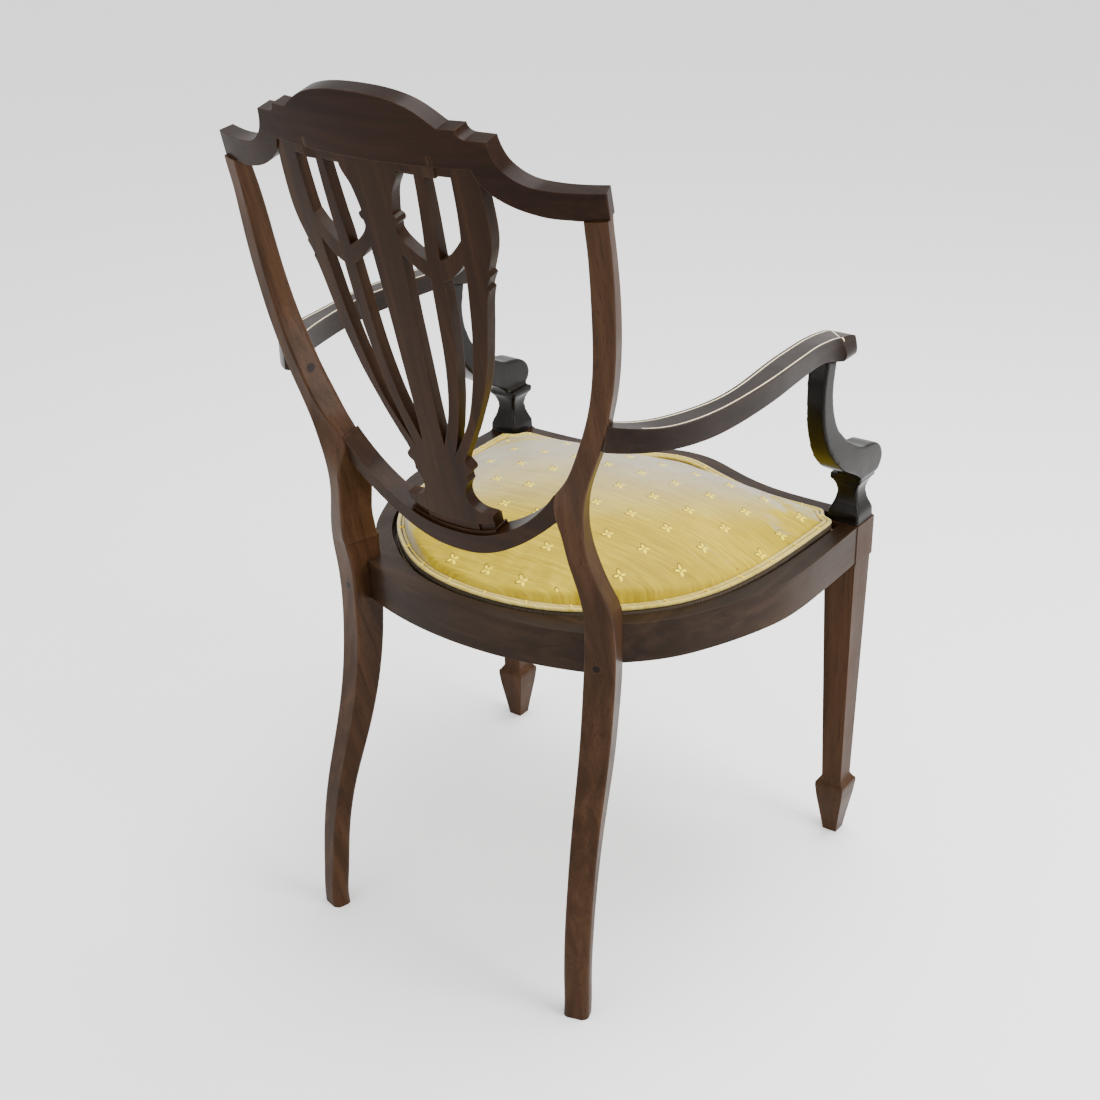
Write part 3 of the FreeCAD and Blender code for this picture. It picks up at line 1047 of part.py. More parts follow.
# ------------------------------------------------------------------ output
for obj in doc.Objects:
    bad = [s for s in obj.State if s in ("Invalid", "Error")]
    if bad:
        raise RuntimeError("%s: %s" % (obj.Name, obj.State))
names = set()
for label, obj in keep:
    if label in names:
        raise RuntimeError("twice: " + label)
    names.add(label)
    shape = obj.Shape
    if shape.isNull() or not shape.isValid():
        raise RuntimeError("bad shape: " + label)
box_all = None
for label, obj in keep:
    shape = obj.Shape
    if len(shape.Solids) == 0:
        raise RuntimeError("no solid: " + label)
    shape.exportStep("parts/%s.step" % label)
    bb = shape.BoundBox
    if box_all is None:
        box_all = FreeCAD.BoundBox(bb)
    else:
        box_all.add(bb)
    print("%-28s solids %d volume %.1f cm3 box %.1f %.1f %.1f" % (label, len(shape.Solids), shape.Volume / 1000.0,
                                                               bb.XLength, bb.YLength, bb.ZLength))
print("all", [round(v, 2) for v in (box_all.XMin, box_all.XMax, box_all.YMin, box_all.YMax, box_all.ZMin, box_all.ZMax)])
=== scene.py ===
import bpy
import bmesh
import math
import numpy as np
from mathutils import Matrix, Vector, noise


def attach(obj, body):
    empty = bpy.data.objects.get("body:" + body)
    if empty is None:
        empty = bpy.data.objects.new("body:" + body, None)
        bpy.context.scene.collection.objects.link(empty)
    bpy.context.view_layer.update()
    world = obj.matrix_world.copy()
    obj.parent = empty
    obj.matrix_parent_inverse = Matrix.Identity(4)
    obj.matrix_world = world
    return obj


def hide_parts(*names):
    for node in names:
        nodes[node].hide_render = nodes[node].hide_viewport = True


# Looks of the shield back armchair.  Metres, +Z up, the chair faces -Y.
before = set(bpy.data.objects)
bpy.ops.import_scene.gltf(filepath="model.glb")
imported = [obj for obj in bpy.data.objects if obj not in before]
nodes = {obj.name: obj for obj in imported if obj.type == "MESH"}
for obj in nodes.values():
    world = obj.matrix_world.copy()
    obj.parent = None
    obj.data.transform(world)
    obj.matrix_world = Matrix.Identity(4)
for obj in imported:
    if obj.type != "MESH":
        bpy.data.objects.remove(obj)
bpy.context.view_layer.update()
SHIFT = -0.0538          # the seat cloth's own lattice was measured before centring


# ---------------------------------------------------------------- node helpers
class Tree:
    def __init__(self, name):
        self.mat = bpy.data.materials.new(name)
        self.mat.use_nodes = True
        self.nt = self.mat.node_tree
        self.nt.nodes.clear()
        self.out = self.nt.nodes.new("ShaderNodeOutputMaterial")
        self.bsdf = self.nt.nodes.new("ShaderNodeBsdfPrincipled")
        self.nt.links.new(self.bsdf.outputs[0], self.out.inputs[0])
        self.coord = self.nt.nodes.new("ShaderNodeTexCoord")

    def new(self, kind, **props):
        n = self.nt.nodes.new(kind)
        for k, v in props.items():
            setattr(n, k, v)
        return n

    def link(self, a, b):
        self.nt.links.new(a, b)

    def put(self, socket, value):
        if hasattr(value, "is_linked") or isinstance(value, bpy.types.NodeSocket):
            self.link(value, socket)
        else:
            socket.default_value = value

    def obj(self):
        return self.coord.outputs["Object"]

    def mapping(self, vec, loc=(0, 0, 0), rot=(0, 0, 0), scale=(1, 1, 1), kind="POINT"):
        m = self.new("ShaderNodeMapping", vector_type=kind)
        self.put(m.inputs["Vector"], vec)
        m.inputs["Location"].default_value = loc
        m.inputs["Rotation"].default_value = rot
        m.inputs["Scale"].default_value = scale
        return m.outputs[0]

    def noise(self, vec, scale, detail=4.0, rough=0.55, distort=0.0):
        n = self.new("ShaderNodeTexNoise")
        self.put(n.inputs["Vector"], vec)
        n.inputs["Scale"].default_value = scale
        n.inputs["Detail"].default_value = detail
        n.inputs["Roughness"].default_value = rough
        n.inputs["Distortion"].default_value = distort
        return n.outputs["Fac"]

    def wave(self, vec, scale, distort=0.0, direction="X", detail=0.0, kind="BANDS"):
        n = self.new("ShaderNodeTexWave", wave_type=kind)
        if kind == "BANDS":
            n.bands_direction = direction
        self.put(n.inputs["Vector"], vec)
        n.inputs["Scale"].default_value = scale
        n.inputs["Distortion"].default_value = distort
        n.inputs["Detail"].default_value = detail
        return n.outputs["Fac"]

    def math(self, op, a, b=0.0, c=0.0, clamp=False):
        n = self.new("ShaderNodeMath", operation=op, use_clamp=clamp)
        self.put(n.inputs[0], a)
        self.put(n.inputs[1], b)
        if op in ("MULTIPLY_ADD", "SMOOTH_MIN", "COMPARE"):
            self.put(n.inputs[2], c)
        return n.outputs[0]

    def ramp(self, fac, stops, interp="LINEAR"):
        n = self.new("ShaderNodeValToRGB")
        n.color_ramp.interpolation = interp
        els = n.color_ramp.elements
        while len(els) > 1:
            els.remove(els[0])
        els[0].position = stops[0][0]
        els[0].color = tuple(stops[0][1]) + (1.0,)
        for pos, col in stops[1:]:
            e = els.new(pos)
            e.color = tuple(col) + (1.0,)
        self.put(n.inputs[0], fac)
        return n.outputs[0]

    def span(self, fac, a, b, lo=0.0, hi=1.0):
        n = self.new("ShaderNodeMapRange", clamp=True)
        self.put(n.inputs["Value"], fac)
        n.inputs["From Min"].default_value = a
        n.inputs["From Max"].default_value = b
        n.inputs["To Min"].default_value = lo
        n.inputs["To Max"].default_value = hi
        return n.outputs["Result"]

    def mix(self, fac, a, b, blend="MIX"):
        n = self.new("ShaderNodeMix", data_type="RGBA", blend_type=blend)
        self.put(n.inputs[0], fac)
        self.put(n.inputs[6], a if not isinstance(a, tuple) else a + (1.0,))
        self.put(n.inputs[7], b if not isinstance(b, tuple) else b + (1.0,))
        return n.outputs[2]

    def bump(self, height, strength, dist, normal=None):
        n = self.new("ShaderNodeBump")
        n.inputs["Strength"].default_value = strength
        n.inputs["Distance"].default_value = dist
        self.put(n.inputs["Height"], height)
        if normal is not None:
            self.link(normal, n.inputs["Normal"])
        return n.outputs[0]

    def soft_edge(self, radius):
        n = self.new("ShaderNodeBevel", samples=6)
        n.inputs["Radius"].default_value = radius
        return n.outputs[0]

    def set(self, name, value):
        self.put(self.bsdf.inputs[name], value)


# ------------------------------------------------------------------ materials
def polished_wood(name, rot, offset, mid=(0.0140, 0.0056, 0.0019), rough=0.38, coat=0.05, edge=0.0011, figure=1.0,
                  spec=0.05):
    """Dark polished mahogany: straight grain along the local Z of `rot`, short dark pores, worn paler edges."""
    t = Tree(name)
    dark, light = tuple(v * 0.42 for v in mid), (mid[0] * 1.9, mid[1] * 2.0, mid[2] * 2.1)
    vec = t.mapping(t.obj(), loc=offset, rot=rot)
    long_vec = t.mapping(vec, scale=(1.0, 1.0, 0.055))
    bands = t.noise(long_vec, 58.0, 5.0, 0.6, 0.6)
    broad = t.noise(t.mapping(vec, scale=(1.0, 1.0, 0.16)), 9.0, 3.0, 0.5, 0.8)
    grain = t.math("MULTIPLY_ADD", bands, 0.62, t.math("MULTIPLY", broad, 0.42 * figure))
    colour = t.ramp(grain, [(0.30, dark), (0.50, mid), (0.68, light)])
    pores = t.noise(t.mapping(vec, scale=(1.0, 1.0, 0.045)), 620.0, 2.0, 0.6)
    pore_mask = t.span(pores, 0.60, 0.68)
    colour = t.mix(t.math("MULTIPLY", pore_mask, 0.55), colour, (0.008, 0.0035, 0.002))
    # handling wear: edges polished paler, found from how far the softened edge turns the surface
    geo = t.new("ShaderNodeNewGeometry")
    soft = t.soft_edge(0.0026)
    dot = t.new("ShaderNodeVectorMath", operation="DOT_PRODUCT")
    t.link(soft, dot.inputs[0])
    t.link(geo.outputs["Normal"], dot.inputs[1])
    rub = t.math("SUBTRACT", 1.0, dot.outputs["Value"], clamp=True)
    patch = t.noise(t.obj(), 34.0, 3.0, 0.6)
    wear = t.math("MULTIPLY", t.span(rub, 0.02, 0.22), t.span(patch, 0.38, 0.68, 0.25, 0.85))
    colour = t.mix(t.math("MULTIPLY", wear, 0.5), colour, (0.070, 0.036, 0.019))
    smudge = t.noise(t.obj(), 16.0, 4.0, 0.62)
    t.set("Base Color", colour)
    t.set("Roughness", t.span(smudge, 0.3, 0.75, rough - 0.05, rough + 0.12))
    t.bsdf.inputs["Coat Weight"].default_value = coat
    t.bsdf.inputs["Coat Roughness"].default_value = 0.16
    t.bsdf.inputs["Coat IOR"].default_value = 1.4
    t.bsdf.inputs["Specular IOR Level"].default_value = spec
    height = t.math("MULTIPLY_ADD", pore_mask, -0.5, t.math("MULTIPLY", bands, 0.5))
    t.set("Normal", t.bump(height, 0.10, 0.0006, t.soft_edge(edge)))
    return t.mat


def plain_wood(name, rot, base, rough=0.62):
    t = Tree(name)
    vec = t.mapping(t.obj(), rot=rot)
    g = t.noise(t.mapping(vec, scale=(1, 1, 0.06)), 90.0, 4.0, 0.6, 0.5)
    a = tuple(v * 0.6 for v in base)
    b = tuple(min(1.0, v * 1.3) for v in base)
    t.set("Base Color", t.ramp(g, [(0.3, a), (0.6, base), (0.8, b)]))
    t.set("Roughness", t.span(g, 0.2, 0.8, rough - 0.08, rough + 0.12))
    t.set("Normal", t.bump(g, 0.35, 0.0008, t.soft_edge(0.0008)))
    return t.mat


GOLD = [(0.38, (0.235, 0.160, 0.0025)), (0.50, (0.335, 0.238, 0.0050)), (0.60, (0.430, 0.320, 0.0160))]
CREAM = [(0.38, (0.330, 0.245, 0.032)), (0.50, (0.460, 0.350, 0.070)), (0.60, (0.570, 0.450, 0.130))]
KNOT = [(0.38, (0.600, 0.420, 0.006)), (0.50, (0.720, 0.520, 0.012)), (0.60, (0.800, 0.620, 0.030))]


def silk(name, kind="seat", tones=GOLD):
    """Gold silk: fine warp and weft, slanting pulls, woven four-petal sprigs on a rectangular lattice,
    a pale lilac sheen where the cloth turns away."""
    t = Tree(name)
    obj = t.obj()
    mm = t.mapping(obj, scale=(1000.0, 1000.0, 1000.0))
    sep = t.new("ShaderNodeSeparateXYZ")
    t.link(mm, sep.inputs[0])
    x, y = sep.outputs[0], sep.outputs[1]
    warp = t.wave(mm, 0.36, 0.5, "X", 1.0)
    weft = t.wave(mm, 0.42, 0.5, "Y", 1.0)
    weave = t.math("MULTIPLY", warp, weft)
    slub = t.noise(t.mapping(mm, scale=(0.016, 0.9, 0.016)), 1.0, 3.0, 0.6)
    slub_b = t.noise(t.mapping(mm, scale=(0.9, 0.016, 0.016)), 1.0, 3.0, 0.6)
    cross = t.noise(t.mapping(mm, rot=(0, 0, math.radians(41)), scale=(0.02, 0.34, 0.02)), 1.0, 3.0, 0.6)
    cloud = t.noise(mm, 0.012, 3.0, 0.55)
    tone = t.math("ADD", t.math("MULTIPLY", slub, 0.35), t.math("ADD", t.math("MULTIPLY", cross, 0.35),
                  t.math("MULTIPLY", cloud, 0.30)))
    gold = t.ramp(tone, tones)
    gold = t.mix(t.math("MULTIPLY", weave, 0.10), gold, (0.60, 0.47, 0.08))
    # painted sheen: the base colour is mixed towards pale lilac-grey where the cloth faces away from the view
    lay = t.new("ShaderNodeLayerWeight")
    lay.inputs["Blend"].default_value = 0.5
    turn = t.span(lay.outputs["Facing"], 0.50, 0.76)
    pale = t.ramp(t.math("ADD", t.math("MULTIPLY", slub_b, 0.5), t.math("MULTIPLY", cloud, 0.5)),
                  [(0.38, (0.25, 0.225, 0.170)), (0.62, (0.36, 0.330, 0.270))])
    cloth = t.mix(t.math("MULTIPLY", turn, 0.86), gold, pale)
    height = t.math("ADD", t.math("MULTIPLY", weave, 0.45), t.math("MULTIPLY", slub, 0.18))
    if kind == "seat":
        # lattice of sprigs: column step (-45.5, 0), row step (-3.7, 51.5), one at (21, -78) before centring
        ox, oy = 21.0, -78.0 + SHIFT * 1000.0
        v = t.math("DIVIDE", t.math("SUBTRACT", y, oy), 51.5)
        u = t.math("DIVIDE", t.math("SUBTRACT", t.math("SUBTRACT", x, ox), t.math("MULTIPLY", v, -3.7)), 45.5)
        fu = t.math("MULTIPLY", t.math("SUBTRACT", t.math("FRACT", t.math("ADD", u, 0.5)), 0.5), 45.5)
        fv = t.math("MULTIPLY", t.math("SUBTRACT", t.math("FRACT", t.math("ADD", v, 0.5)), 0.5), 51.5)
        c = math.sqrt(0.5)
        p = t.math("MULTIPLY", t.math("ADD", fu, fv), c)
        q = t.math("MULTIPLY", t.math("SUBTRACT", fu, fv), c)

        def petal_pair(along, across, reach, width):
            """Two opposite petals: an ellipse each, a little off the centre."""
            a = t.math("SUBTRACT", t.math("ABSOLUTE", along), reach * 0.56)
            d = t.math("ADD", t.math("POWER", t.math("DIVIDE", a, reach * 0.46), 2.0),
                       t.math("POWER", t.math("DIVIDE", across, width), 2.0))
            return t.math("SUBTRACT", 1.0, t.math("SQRT", d))
        lobes = t.math("MAXIMUM", petal_pair(p, q, 6.8, 1.75), petal_pair(q, p, 8.0, 1.85))
        # the sprigs lie on the top of the seat only, not down its turned edge
        face = t.new("ShaderNodeNewGeometry")
        up = t.new("ShaderNodeSeparateXYZ")
        t.link(face.outputs["Normal"], up.inputs[0])
        lies = t.span(up.outputs[2], 0.55, 0.80)
        lobes = t.math("SUBTRACT", lobes, t.math("MULTIPLY", t.math("SUBTRACT", 1.0, lies), 2.0))
        mask = t.span(lobes, 0.0, 0.25)
        edge = t.math("MULTIPLY", t.span(lobes, -0.75, -0.05), t.math("SUBTRACT", 1.0, mask))
        # the shaded side of the raised thread
        side = t.span(t.math("ADD", p, q), -1.0, 3.0)
        cloth = t.mix(t.math("MULTIPLY", edge, t.math("MULTIPLY", side, 0.85)), cloth, (0.060, 0.032, 0.004))
        # painted shade: one side of each sprig's petals darkened brown
        petal_shade = t.math("MULTIPLY", mask, t.span(t.math("ADD", t.math("MULTIPLY", p, -1.0), q), 2.0, 5.5, 0.0, 0.25))
        cloth = t.mix(mask, cloth, (0.86, 0.66, 0.010))
        cloth = t.mix(petal_shade, cloth, (0.20, 0.115, 0.010))
        height = t.math("ADD", height, t.math("MULTIPLY", t.span(lobes, -0.1, 0.6), 2.6))
    t.set("Base Color", cloth)
    t.set("Roughness", t.span(weave, 0.0, 1.0, 0.52, 0.38))
    t.bsdf.inputs["Specular IOR Level"].default_value = 0.12
    t.bsdf.inputs["Sheen Weight"].default_value = 0.04
    t.bsdf.inputs["Sheen Roughness"].default_value = 0.35
    t.bsdf.inputs["Sheen Tint"].default_value = (0.93, 0.90, 0.97, 1.0)
    t.set("Normal", t.bump(height, 0.35, 0.0004))
    return t.mat


def woven(name, base, pitch, rough=0.9, bump=0.8):
    t = Tree(name)
    mm = t.mapping(t.obj(), scale=(1000.0, 1000.0, 1000.0))
    a = t.wave(mm, 0.314 / pitch * 0.5, 1.0, "X", 1.0)
    b = t.wave(mm, 0.314 / pitch * 0.5, 1.0, "Y", 1.0)
    w = t.math("MULTIPLY", a, b)
    n = t.noise(mm, 0.08, 4.0, 0.6)
    lo = tuple(v * 0.45 for v in base)
    col = t.ramp(t.math("ADD", t.math("MULTIPLY", w, 0.6), t.math("MULTIPLY", n, 0.4)), [(0.2, lo), (0.7, base)])
    t.set("Base Color", col)
    t.set("Roughness", t.span(n, 0.2, 0.8, rough - 0.1, rough))
    t.set("Normal", t.bump(w, bump, 0.0006))
    return t.mat


def steel(name):
    t = Tree(name)
    n = t.noise(t.obj(), 180.0, 4.0, 0.6)
    t.set("Base Color", t.ramp(n, [(0.3, (0.13, 0.10, 0.08)), (0.7, (0.40, 0.38, 0.36))]))
    t.bsdf.inputs["Metallic"].default_value = 0.9
    t.set("Roughness", t.span(n, 0.2, 0.8, 0.3, 0.55))
    t.set("Normal", t.bump(n, 0.2, 0.0003, t.soft_edge(0.0003)))
    return t.mat


def pale_line(name):
    t = Tree(name)
    n = t.noise(t.mapping(t.obj(), scale=(1, 0.1, 1)), 300.0, 3.0, 0.6)
    t.set("Base Color", t.ramp(n, [(0.3, (0.62, 0.47, 0.26)), (0.6, (0.80, 0.66, 0.42)), (0.8, (0.88, 0.76, 0.54))]))
    t.set("Roughness", t.span(n, 0.2, 0.8, 0.28, 0.4))
    t.bsdf.inputs["Coat Weight"].default_value = 0.5
    t.bsdf.inputs["Coat Roughness"].default_value = 0.12
    return t.mat


def assign(name, material):
    o = nodes[name]
    o.data.materials.clear()
    o.data.materials.append(material)
    for p in o.data.polygons:
        p.material_index = 0


UPRIGHT = (0.0, 0.0, 0.0)                       # grain along Z
RAKED = (math.radians(14.0), 0.0, 0.0)          # up the raked back
ACROSS = (0.0, math.radians(90.0), 0.0)         # grain along X
ALONG = (math.radians(90.0), 0.0, 0.0)          # grain along Y
wood = {
    "rear_post_left": (RAKED, 1.3), "rear_post_right": (RAKED, 2.9), "crest_rail": (ACROSS, 4.1),
    "splat": (RAKED, 5.7), "splat_shoe": (ACROSS, 6.2), "shield_bottom_rail": (ACROSS, 7.7),
    "rear_seat_rail": (ACROSS, 8.4), "front_seat_rail": (ACROSS, 9.8), "side_seat_rail_left": (ALONG, 10.3),
    "side_seat_rail_right": (ALONG, 11.6), "front_leg_left": (UPRIGHT, 12.1), "front_leg_right": (UPRIGHT, 13.4),
    "arm_left": (ALONG, 14.2), "arm_right": (ALONG, 15.9), "arm_support_left": (UPRIGHT, 16.7),
    "arm_support_right": (UPRIGHT, 17.3), "screw_plugs": (ACROSS, 18.8),
}
# One mahogany with per-part base colours set to how light or dark each part looks: partly the pieces' own tone, partly
# painted shade (crest rail, arms and arm supports darker) and painted light (rear posts and front legs lighter).
for n, (rot, seed) in wood.items():
    kw = {}
    if n.startswith("arm_support"):
        kw = dict(mid=(0.0034, 0.0024, 0.0017), rough=0.30, coat=0.10, spec=0.08)
    elif n.startswith("arm_"):
        kw = dict(mid=(0.0085, 0.0042, 0.0023), rough=0.32, coat=0.08, spec=0.07)
    elif n == "crest_rail":
        kw = dict(mid=(0.0085, 0.0033, 0.0014), spec=0.04)
    elif n.startswith("rear_post"):
        kw = dict(mid=(0.0250, 0.0112, 0.0048), figure=1.15)
    elif n.startswith("front_leg"):
        kw = dict(mid=(0.0225, 0.0098, 0.0040), figure=1.15)
    elif "seat_rail" in n:
        kw = dict(mid=(0.0145, 0.0074, 0.0038), coat=0.06, spec=0.06)
    elif n == "screw_plugs":
        kw = dict(mid=(0.0050, 0.0024, 0.0012))
    assign(n, polished_wood("mahogany_" + n, rot, (seed * 0.37, seed * 0.11, seed * 0.53), **kw))
for n in ("corner_block_front_left", "corner_block_front_right", "corner_block_rear_left", "corner_block_rear_right"):
    assign(n, plain_wood("secondary_" + n, ACROSS, (0.40, 0.27, 0.15)))
line_mat = pale_line("boxwood_line")
for n in ("arm_stringing_left", "arm_stringing_right"):
    assign(n, line_mat)
steel_mat = steel("aged_steel")
for n in ("arm_screws", "rail_screws", "corner_block_screws"):
    assign(n, steel_mat)
assign("seat_webbing", woven("jute_webbing", (0.50, 0.40, 0.25), 1.6))
assign("seat_hessian", woven("hessian_cloth", (0.46, 0.34, 0.19), 1.1))
silk_seat = silk("gold_silk_sprigged", "seat")
silk_cord = silk("gold_silk_cord", "cord", CREAM)


# rounded edges for the carved arm supports
def soften(name, voxel, steps, factor=0.5):
    o = nodes[name]
    m = o.modifiers.new("even", "REMESH")
    m.mode = "VOXEL"
    m.voxel_size = voxel
    m.use_smooth_shade = True
    s = o.modifiers.new("soft", "SMOOTH")
    s.factor = factor
    s.iterations = steps


for n in ("arm_support_left", "arm_support_right"):
    soften(n, 0.0014, 9)


# ------------------------------------------------------------------- the seat
def top_loops(name):
    """Outlines of the highest flat face of a CAD node: closed loops of plan points, the longest first."""
    bm = bmesh.new()
    bm.from_mesh(nodes[name].data)
    bmesh.ops.remove_doubles(bm, verts=bm.verts, dist=1e-6)
    top = max(v.co.z for v in bm.verts)
    faces = [f for f in bm.faces if all(abs(v.co.z - top) < 2e-5 for v in f.verts)]
    inside = set(faces)
    edges = [e for e in set(e for f in faces for e in f.edges) if sum(1 for f in e.link_faces if f in inside) == 1]
    nxt = {}
    for e in edges:
        a, b = e.verts
        nxt.setdefault(a, []).append(b)
        nxt.setdefault(b, []).append(a)
    loops, seen = [], set()
    for start in sorted(nxt, key=lambda v: v.index):
        if start in seen:
            continue
        loop, prev, cur = [], None, start
        while cur not in seen:
            seen.add(cur)
            loop.append((cur.co.x, cur.co.y))
            step = [v for v in nxt[cur] if v != prev and v not in seen]
            if not step:
                break
            prev, cur = cur, step[0]
        loops.append(np.array(loop))
    bm.free()
    loops.sort(key=lambda l: -len_of(l))
    return loops, top


def len_of(l):
    return float(np.linalg.norm(l - np.roll(l, -1, 0), axis=1).sum())


def resample(loop, count):
    """Evenly spaced points, counter-clockwise, starting on the +X side of the front centre line."""
    area = 0.5 * np.sum(loop[:, 0] * np.roll(loop[:, 1], -1) - np.roll(loop[:, 0], -1) * loop[:, 1])
    if area < 0:
        loop = loop[::-1]
    front = np.where(loop[:, 1] < loop[:, 1].mean())[0]
    k = front[np.argmin(np.abs(loop[front, 0]))]
    loop = np.roll(loop, -k, 0)
    closed = np.vstack([loop, loop[:1]])
    seg = np.linalg.norm(np.diff(closed, axis=0), axis=1)
    s = np.concatenate([[0], np.cumsum(seg)])
    t = np.linspace(0, s[-1], count, endpoint=False)
    return np.stack([np.interp(t, s, closed[:, 0]), np.interp(t, s, closed[:, 1])], 1)


welt_loops, welt_z = top_loops("seat_piping")
N = 720
outer = resample(welt_loops[0], N)
inner = resample(welt_loops[1], N)
# pair the inner loop with the outer one by nearest point, kept in order
pair = np.array([inner[np.argmin(((inner - p) ** 2).sum(1))] for p in outer])
kern = np.ones(9) / 9.0


def smooth_loop(l, times=2):
    for _ in range(times):
        l = np.stack([np.convolve(np.concatenate([l[-4:, i], l[:, i], l[:4, i]]), kern, "valid") for i in (0, 1)], 1)
    return l


def between(f):
    return smooth_loop(outer * (1 - f) + pair * f)


def mesh_object(name, verts, faces, mat, smooth=True):
    me = bpy.data.meshes.new(name)
    me.from_pydata([tuple(v) for v in verts], [], faces)
    me.update()
    o = bpy.data.objects.new(name, me)
    bpy.context.scene.collection.objects.link(o)
    me.materials.append(mat)
    for p in me.polygons:
        p.use_smooth = smooth
    return o


def tube_loop(line, z, radius, sides=14, squash=1.0):
    """Closed tube that follows a plan loop; a fine twist of thread is left to the material."""
    n = len(line)
    tang = np.roll(line, -1, 0) - np.roll(line, 1, 0)
    tang /= np.linalg.norm(tang, axis=1)[:, None]
    normal = np.stack([tang[:, 1], -tang[:, 0]], 1)
    verts, faces = [], []
    for i in range(n):
        for k in range(sides):
            a = 2 * math.pi * k / sides
            r = radius * (1.0 + 0.03 * math.sin(i * 0.41) + 0.02 * math.sin(i * 1.7 + k))
            w = math.cos(a) * r
            verts.append((line[i, 0] + normal[i, 0] * w, line[i, 1] + normal[i, 1] * w, z + math.sin(a) * r * squash))
    for i in range(n):
        j = (i + 1) % n
        for k in range(sides):
            m = (k + 1) % sides
            faces.append((i * sides + k, j * sides + k, j * sides + m, i * sides + m))
    return verts, faces


CORD = 0.0024
cords = []
for tag, f in (("outer", 0.27), ("inner", 0.79)):
    line = between(f)[::2]
    v, fc = tube_loop(line, welt_z - CORD + 0.0004, CORD)
    cords.append(mesh_object("welt_cord_" + tag, v, fc, silk_cord))
# flat tape that joins the two cords and hangs behind the rebate, coloured dark brown as painted shade for the shadow
# gap between welt and rail
lo, hi = between(0.06)[::2], between(0.99)[::2]
tv, tf = [], []
m_ = len(lo)
for ring, z in ((lo, welt_z - 0.0125), (lo, welt_z - 0.0058), (hi, welt_z - 0.0058), (hi, welt_z - 0.0125)):
    tv += [(p[0], p[1], z) for p in ring]
for r in range(4):
    s = (r + 1) % 4
    for i in range(m_):
        j = (i + 1) % m_
        tf.append((r * m_ + i, s * m_ + i, s * m_ + j, r * m_ + j))
tape = mesh_object("welt_tape", tv, tf, woven("welt_tape_painted_shade", (0.055, 0.032, 0.010), 0.9))
bm = bmesh.new()
bm.from_mesh(tape.data)
bmesh.ops.recalc_face_normals(bm, faces=bm.faces)
bm.to_mesh(tape.data)
bm.free()

# small sewn knots across the two cords
knot_mat = silk("gold_silk_knot", "cord", KNOT)
kv, kf = [], []
mid = between(0.55)
total = len_of(mid)
count = int(round(total / 0.0475))
for c in range(count):
    i = int(round(c * N / count + 4)) % N
    p = mid[i]
    t_ = mid[(i + 2) % N] - mid[i - 2]
    t_ /= np.linalg.norm(t_)
    across = np.array([t_[1], -t_[0]])
    seg, sides, w = 12, 8, 0.0046
    base = len(kv)
    for a in range(seg + 1):
        u = -1.0 + 2.0 * a / seg
        # a stitch that lies over both cords and dips between them
        arch = welt_z - 0.0008 + 0.0010 * abs(math.sin(u * math.pi)) - 0.0016 * u ** 6
        slant = 0.0016 * u
        cx_, cy_ = p + across * (u * w) + t_ * slant
        rad = 0.00125 * math.sqrt(max(0.03, 1.0 - abs(u) ** 5))
        for k in range(sides):
            an = 2 * math.pi * k / sides
            q = np.array([cx_, cy_]) + t_ * math.cos(an) * rad
            kv.append((q[0], q[1], arch + math.sin(an) * rad))
    for a in range(seg):
        for k in range(sides):
            k2 = (k + 1) % sides
            kf.append((base + a * sides + k, base + a * sides + k2, base + (a + 1) * sides + k2, base + (a + 1) * sides + k))
    kf.append(tuple(base + k for k in reversed(range(sides))))
    kf.append(tuple(base + seg * sides + k for k in range(sides)))
knots = mesh_object("welt_knots", kv, kf, knot_mat)

# the crowned seat: rings from the sewn edge to the middle, closed underneath
edge_line = resample(between(0.90), 288)
A = len(edge_line)
R = 46
centre = np.array([0.0, -0.024])


def crown_z(x, y):
    gx, gy = abs(x * 1000.0) / 226.0, abs(y * 1000.0 - SHIFT * 1000.0 - 12.7) / 212.0
    v = (1.0 - min(1.0, gx) ** 2.6) * (1.0 - min(1.0, gy) ** 2.3)
    return 0.4315 + 0.0389 * v


verts, faces = [], []
for r in range(R):
    f = 1.0 - (1.0 - r / (R - 1.0)) ** 1.0
    s = 1.0 - f * 0.985
    for p in edge_line:
        q = centre + (p - centre) * s
        roll = 0.0030 * math.sin(min(1.0, (1.0 - s) / 0.10) * math.pi / 2)
        z = 0.9985 * crown_z(q[0], q[1]) - 0.0040 + roll
        verts.append((q[0], q[1], z))
for r in range(R - 1):
    for i in range(A):
        j = (i + 1) % A
        faces.append((r * A + i, r * A + j, (r + 1) * A + j, (r + 1) * A + i))
verts.append((centre[0], centre[1], crown_z(*centre) - 0.001))
top_mid = len(verts) - 1
for i in range(A):
    faces.append(((R - 1) * A + i, (R - 1) * A + (i + 1) % A, top_mid))
base = len(verts)
for z in (0.4225, 0.4172):
    for p in edge_line:
        verts.append((p[0], p[1], z))
for i in range(A):
    j = (i + 1) % A
    faces.append((i, base + i, base + j, j))
    faces.append((base + i, base + A + i, base + A + j, base + j))
verts.append((centre[0], centre[1], 0.4172))
low_mid = len(verts) - 1
for i in range(A):
    faces.append((base + A + i, low_mid, base + A + (i + 1) % A))
cushion = mesh_object("seat_cushion", verts, faces, silk_seat)
rest = np.array(verts, float)

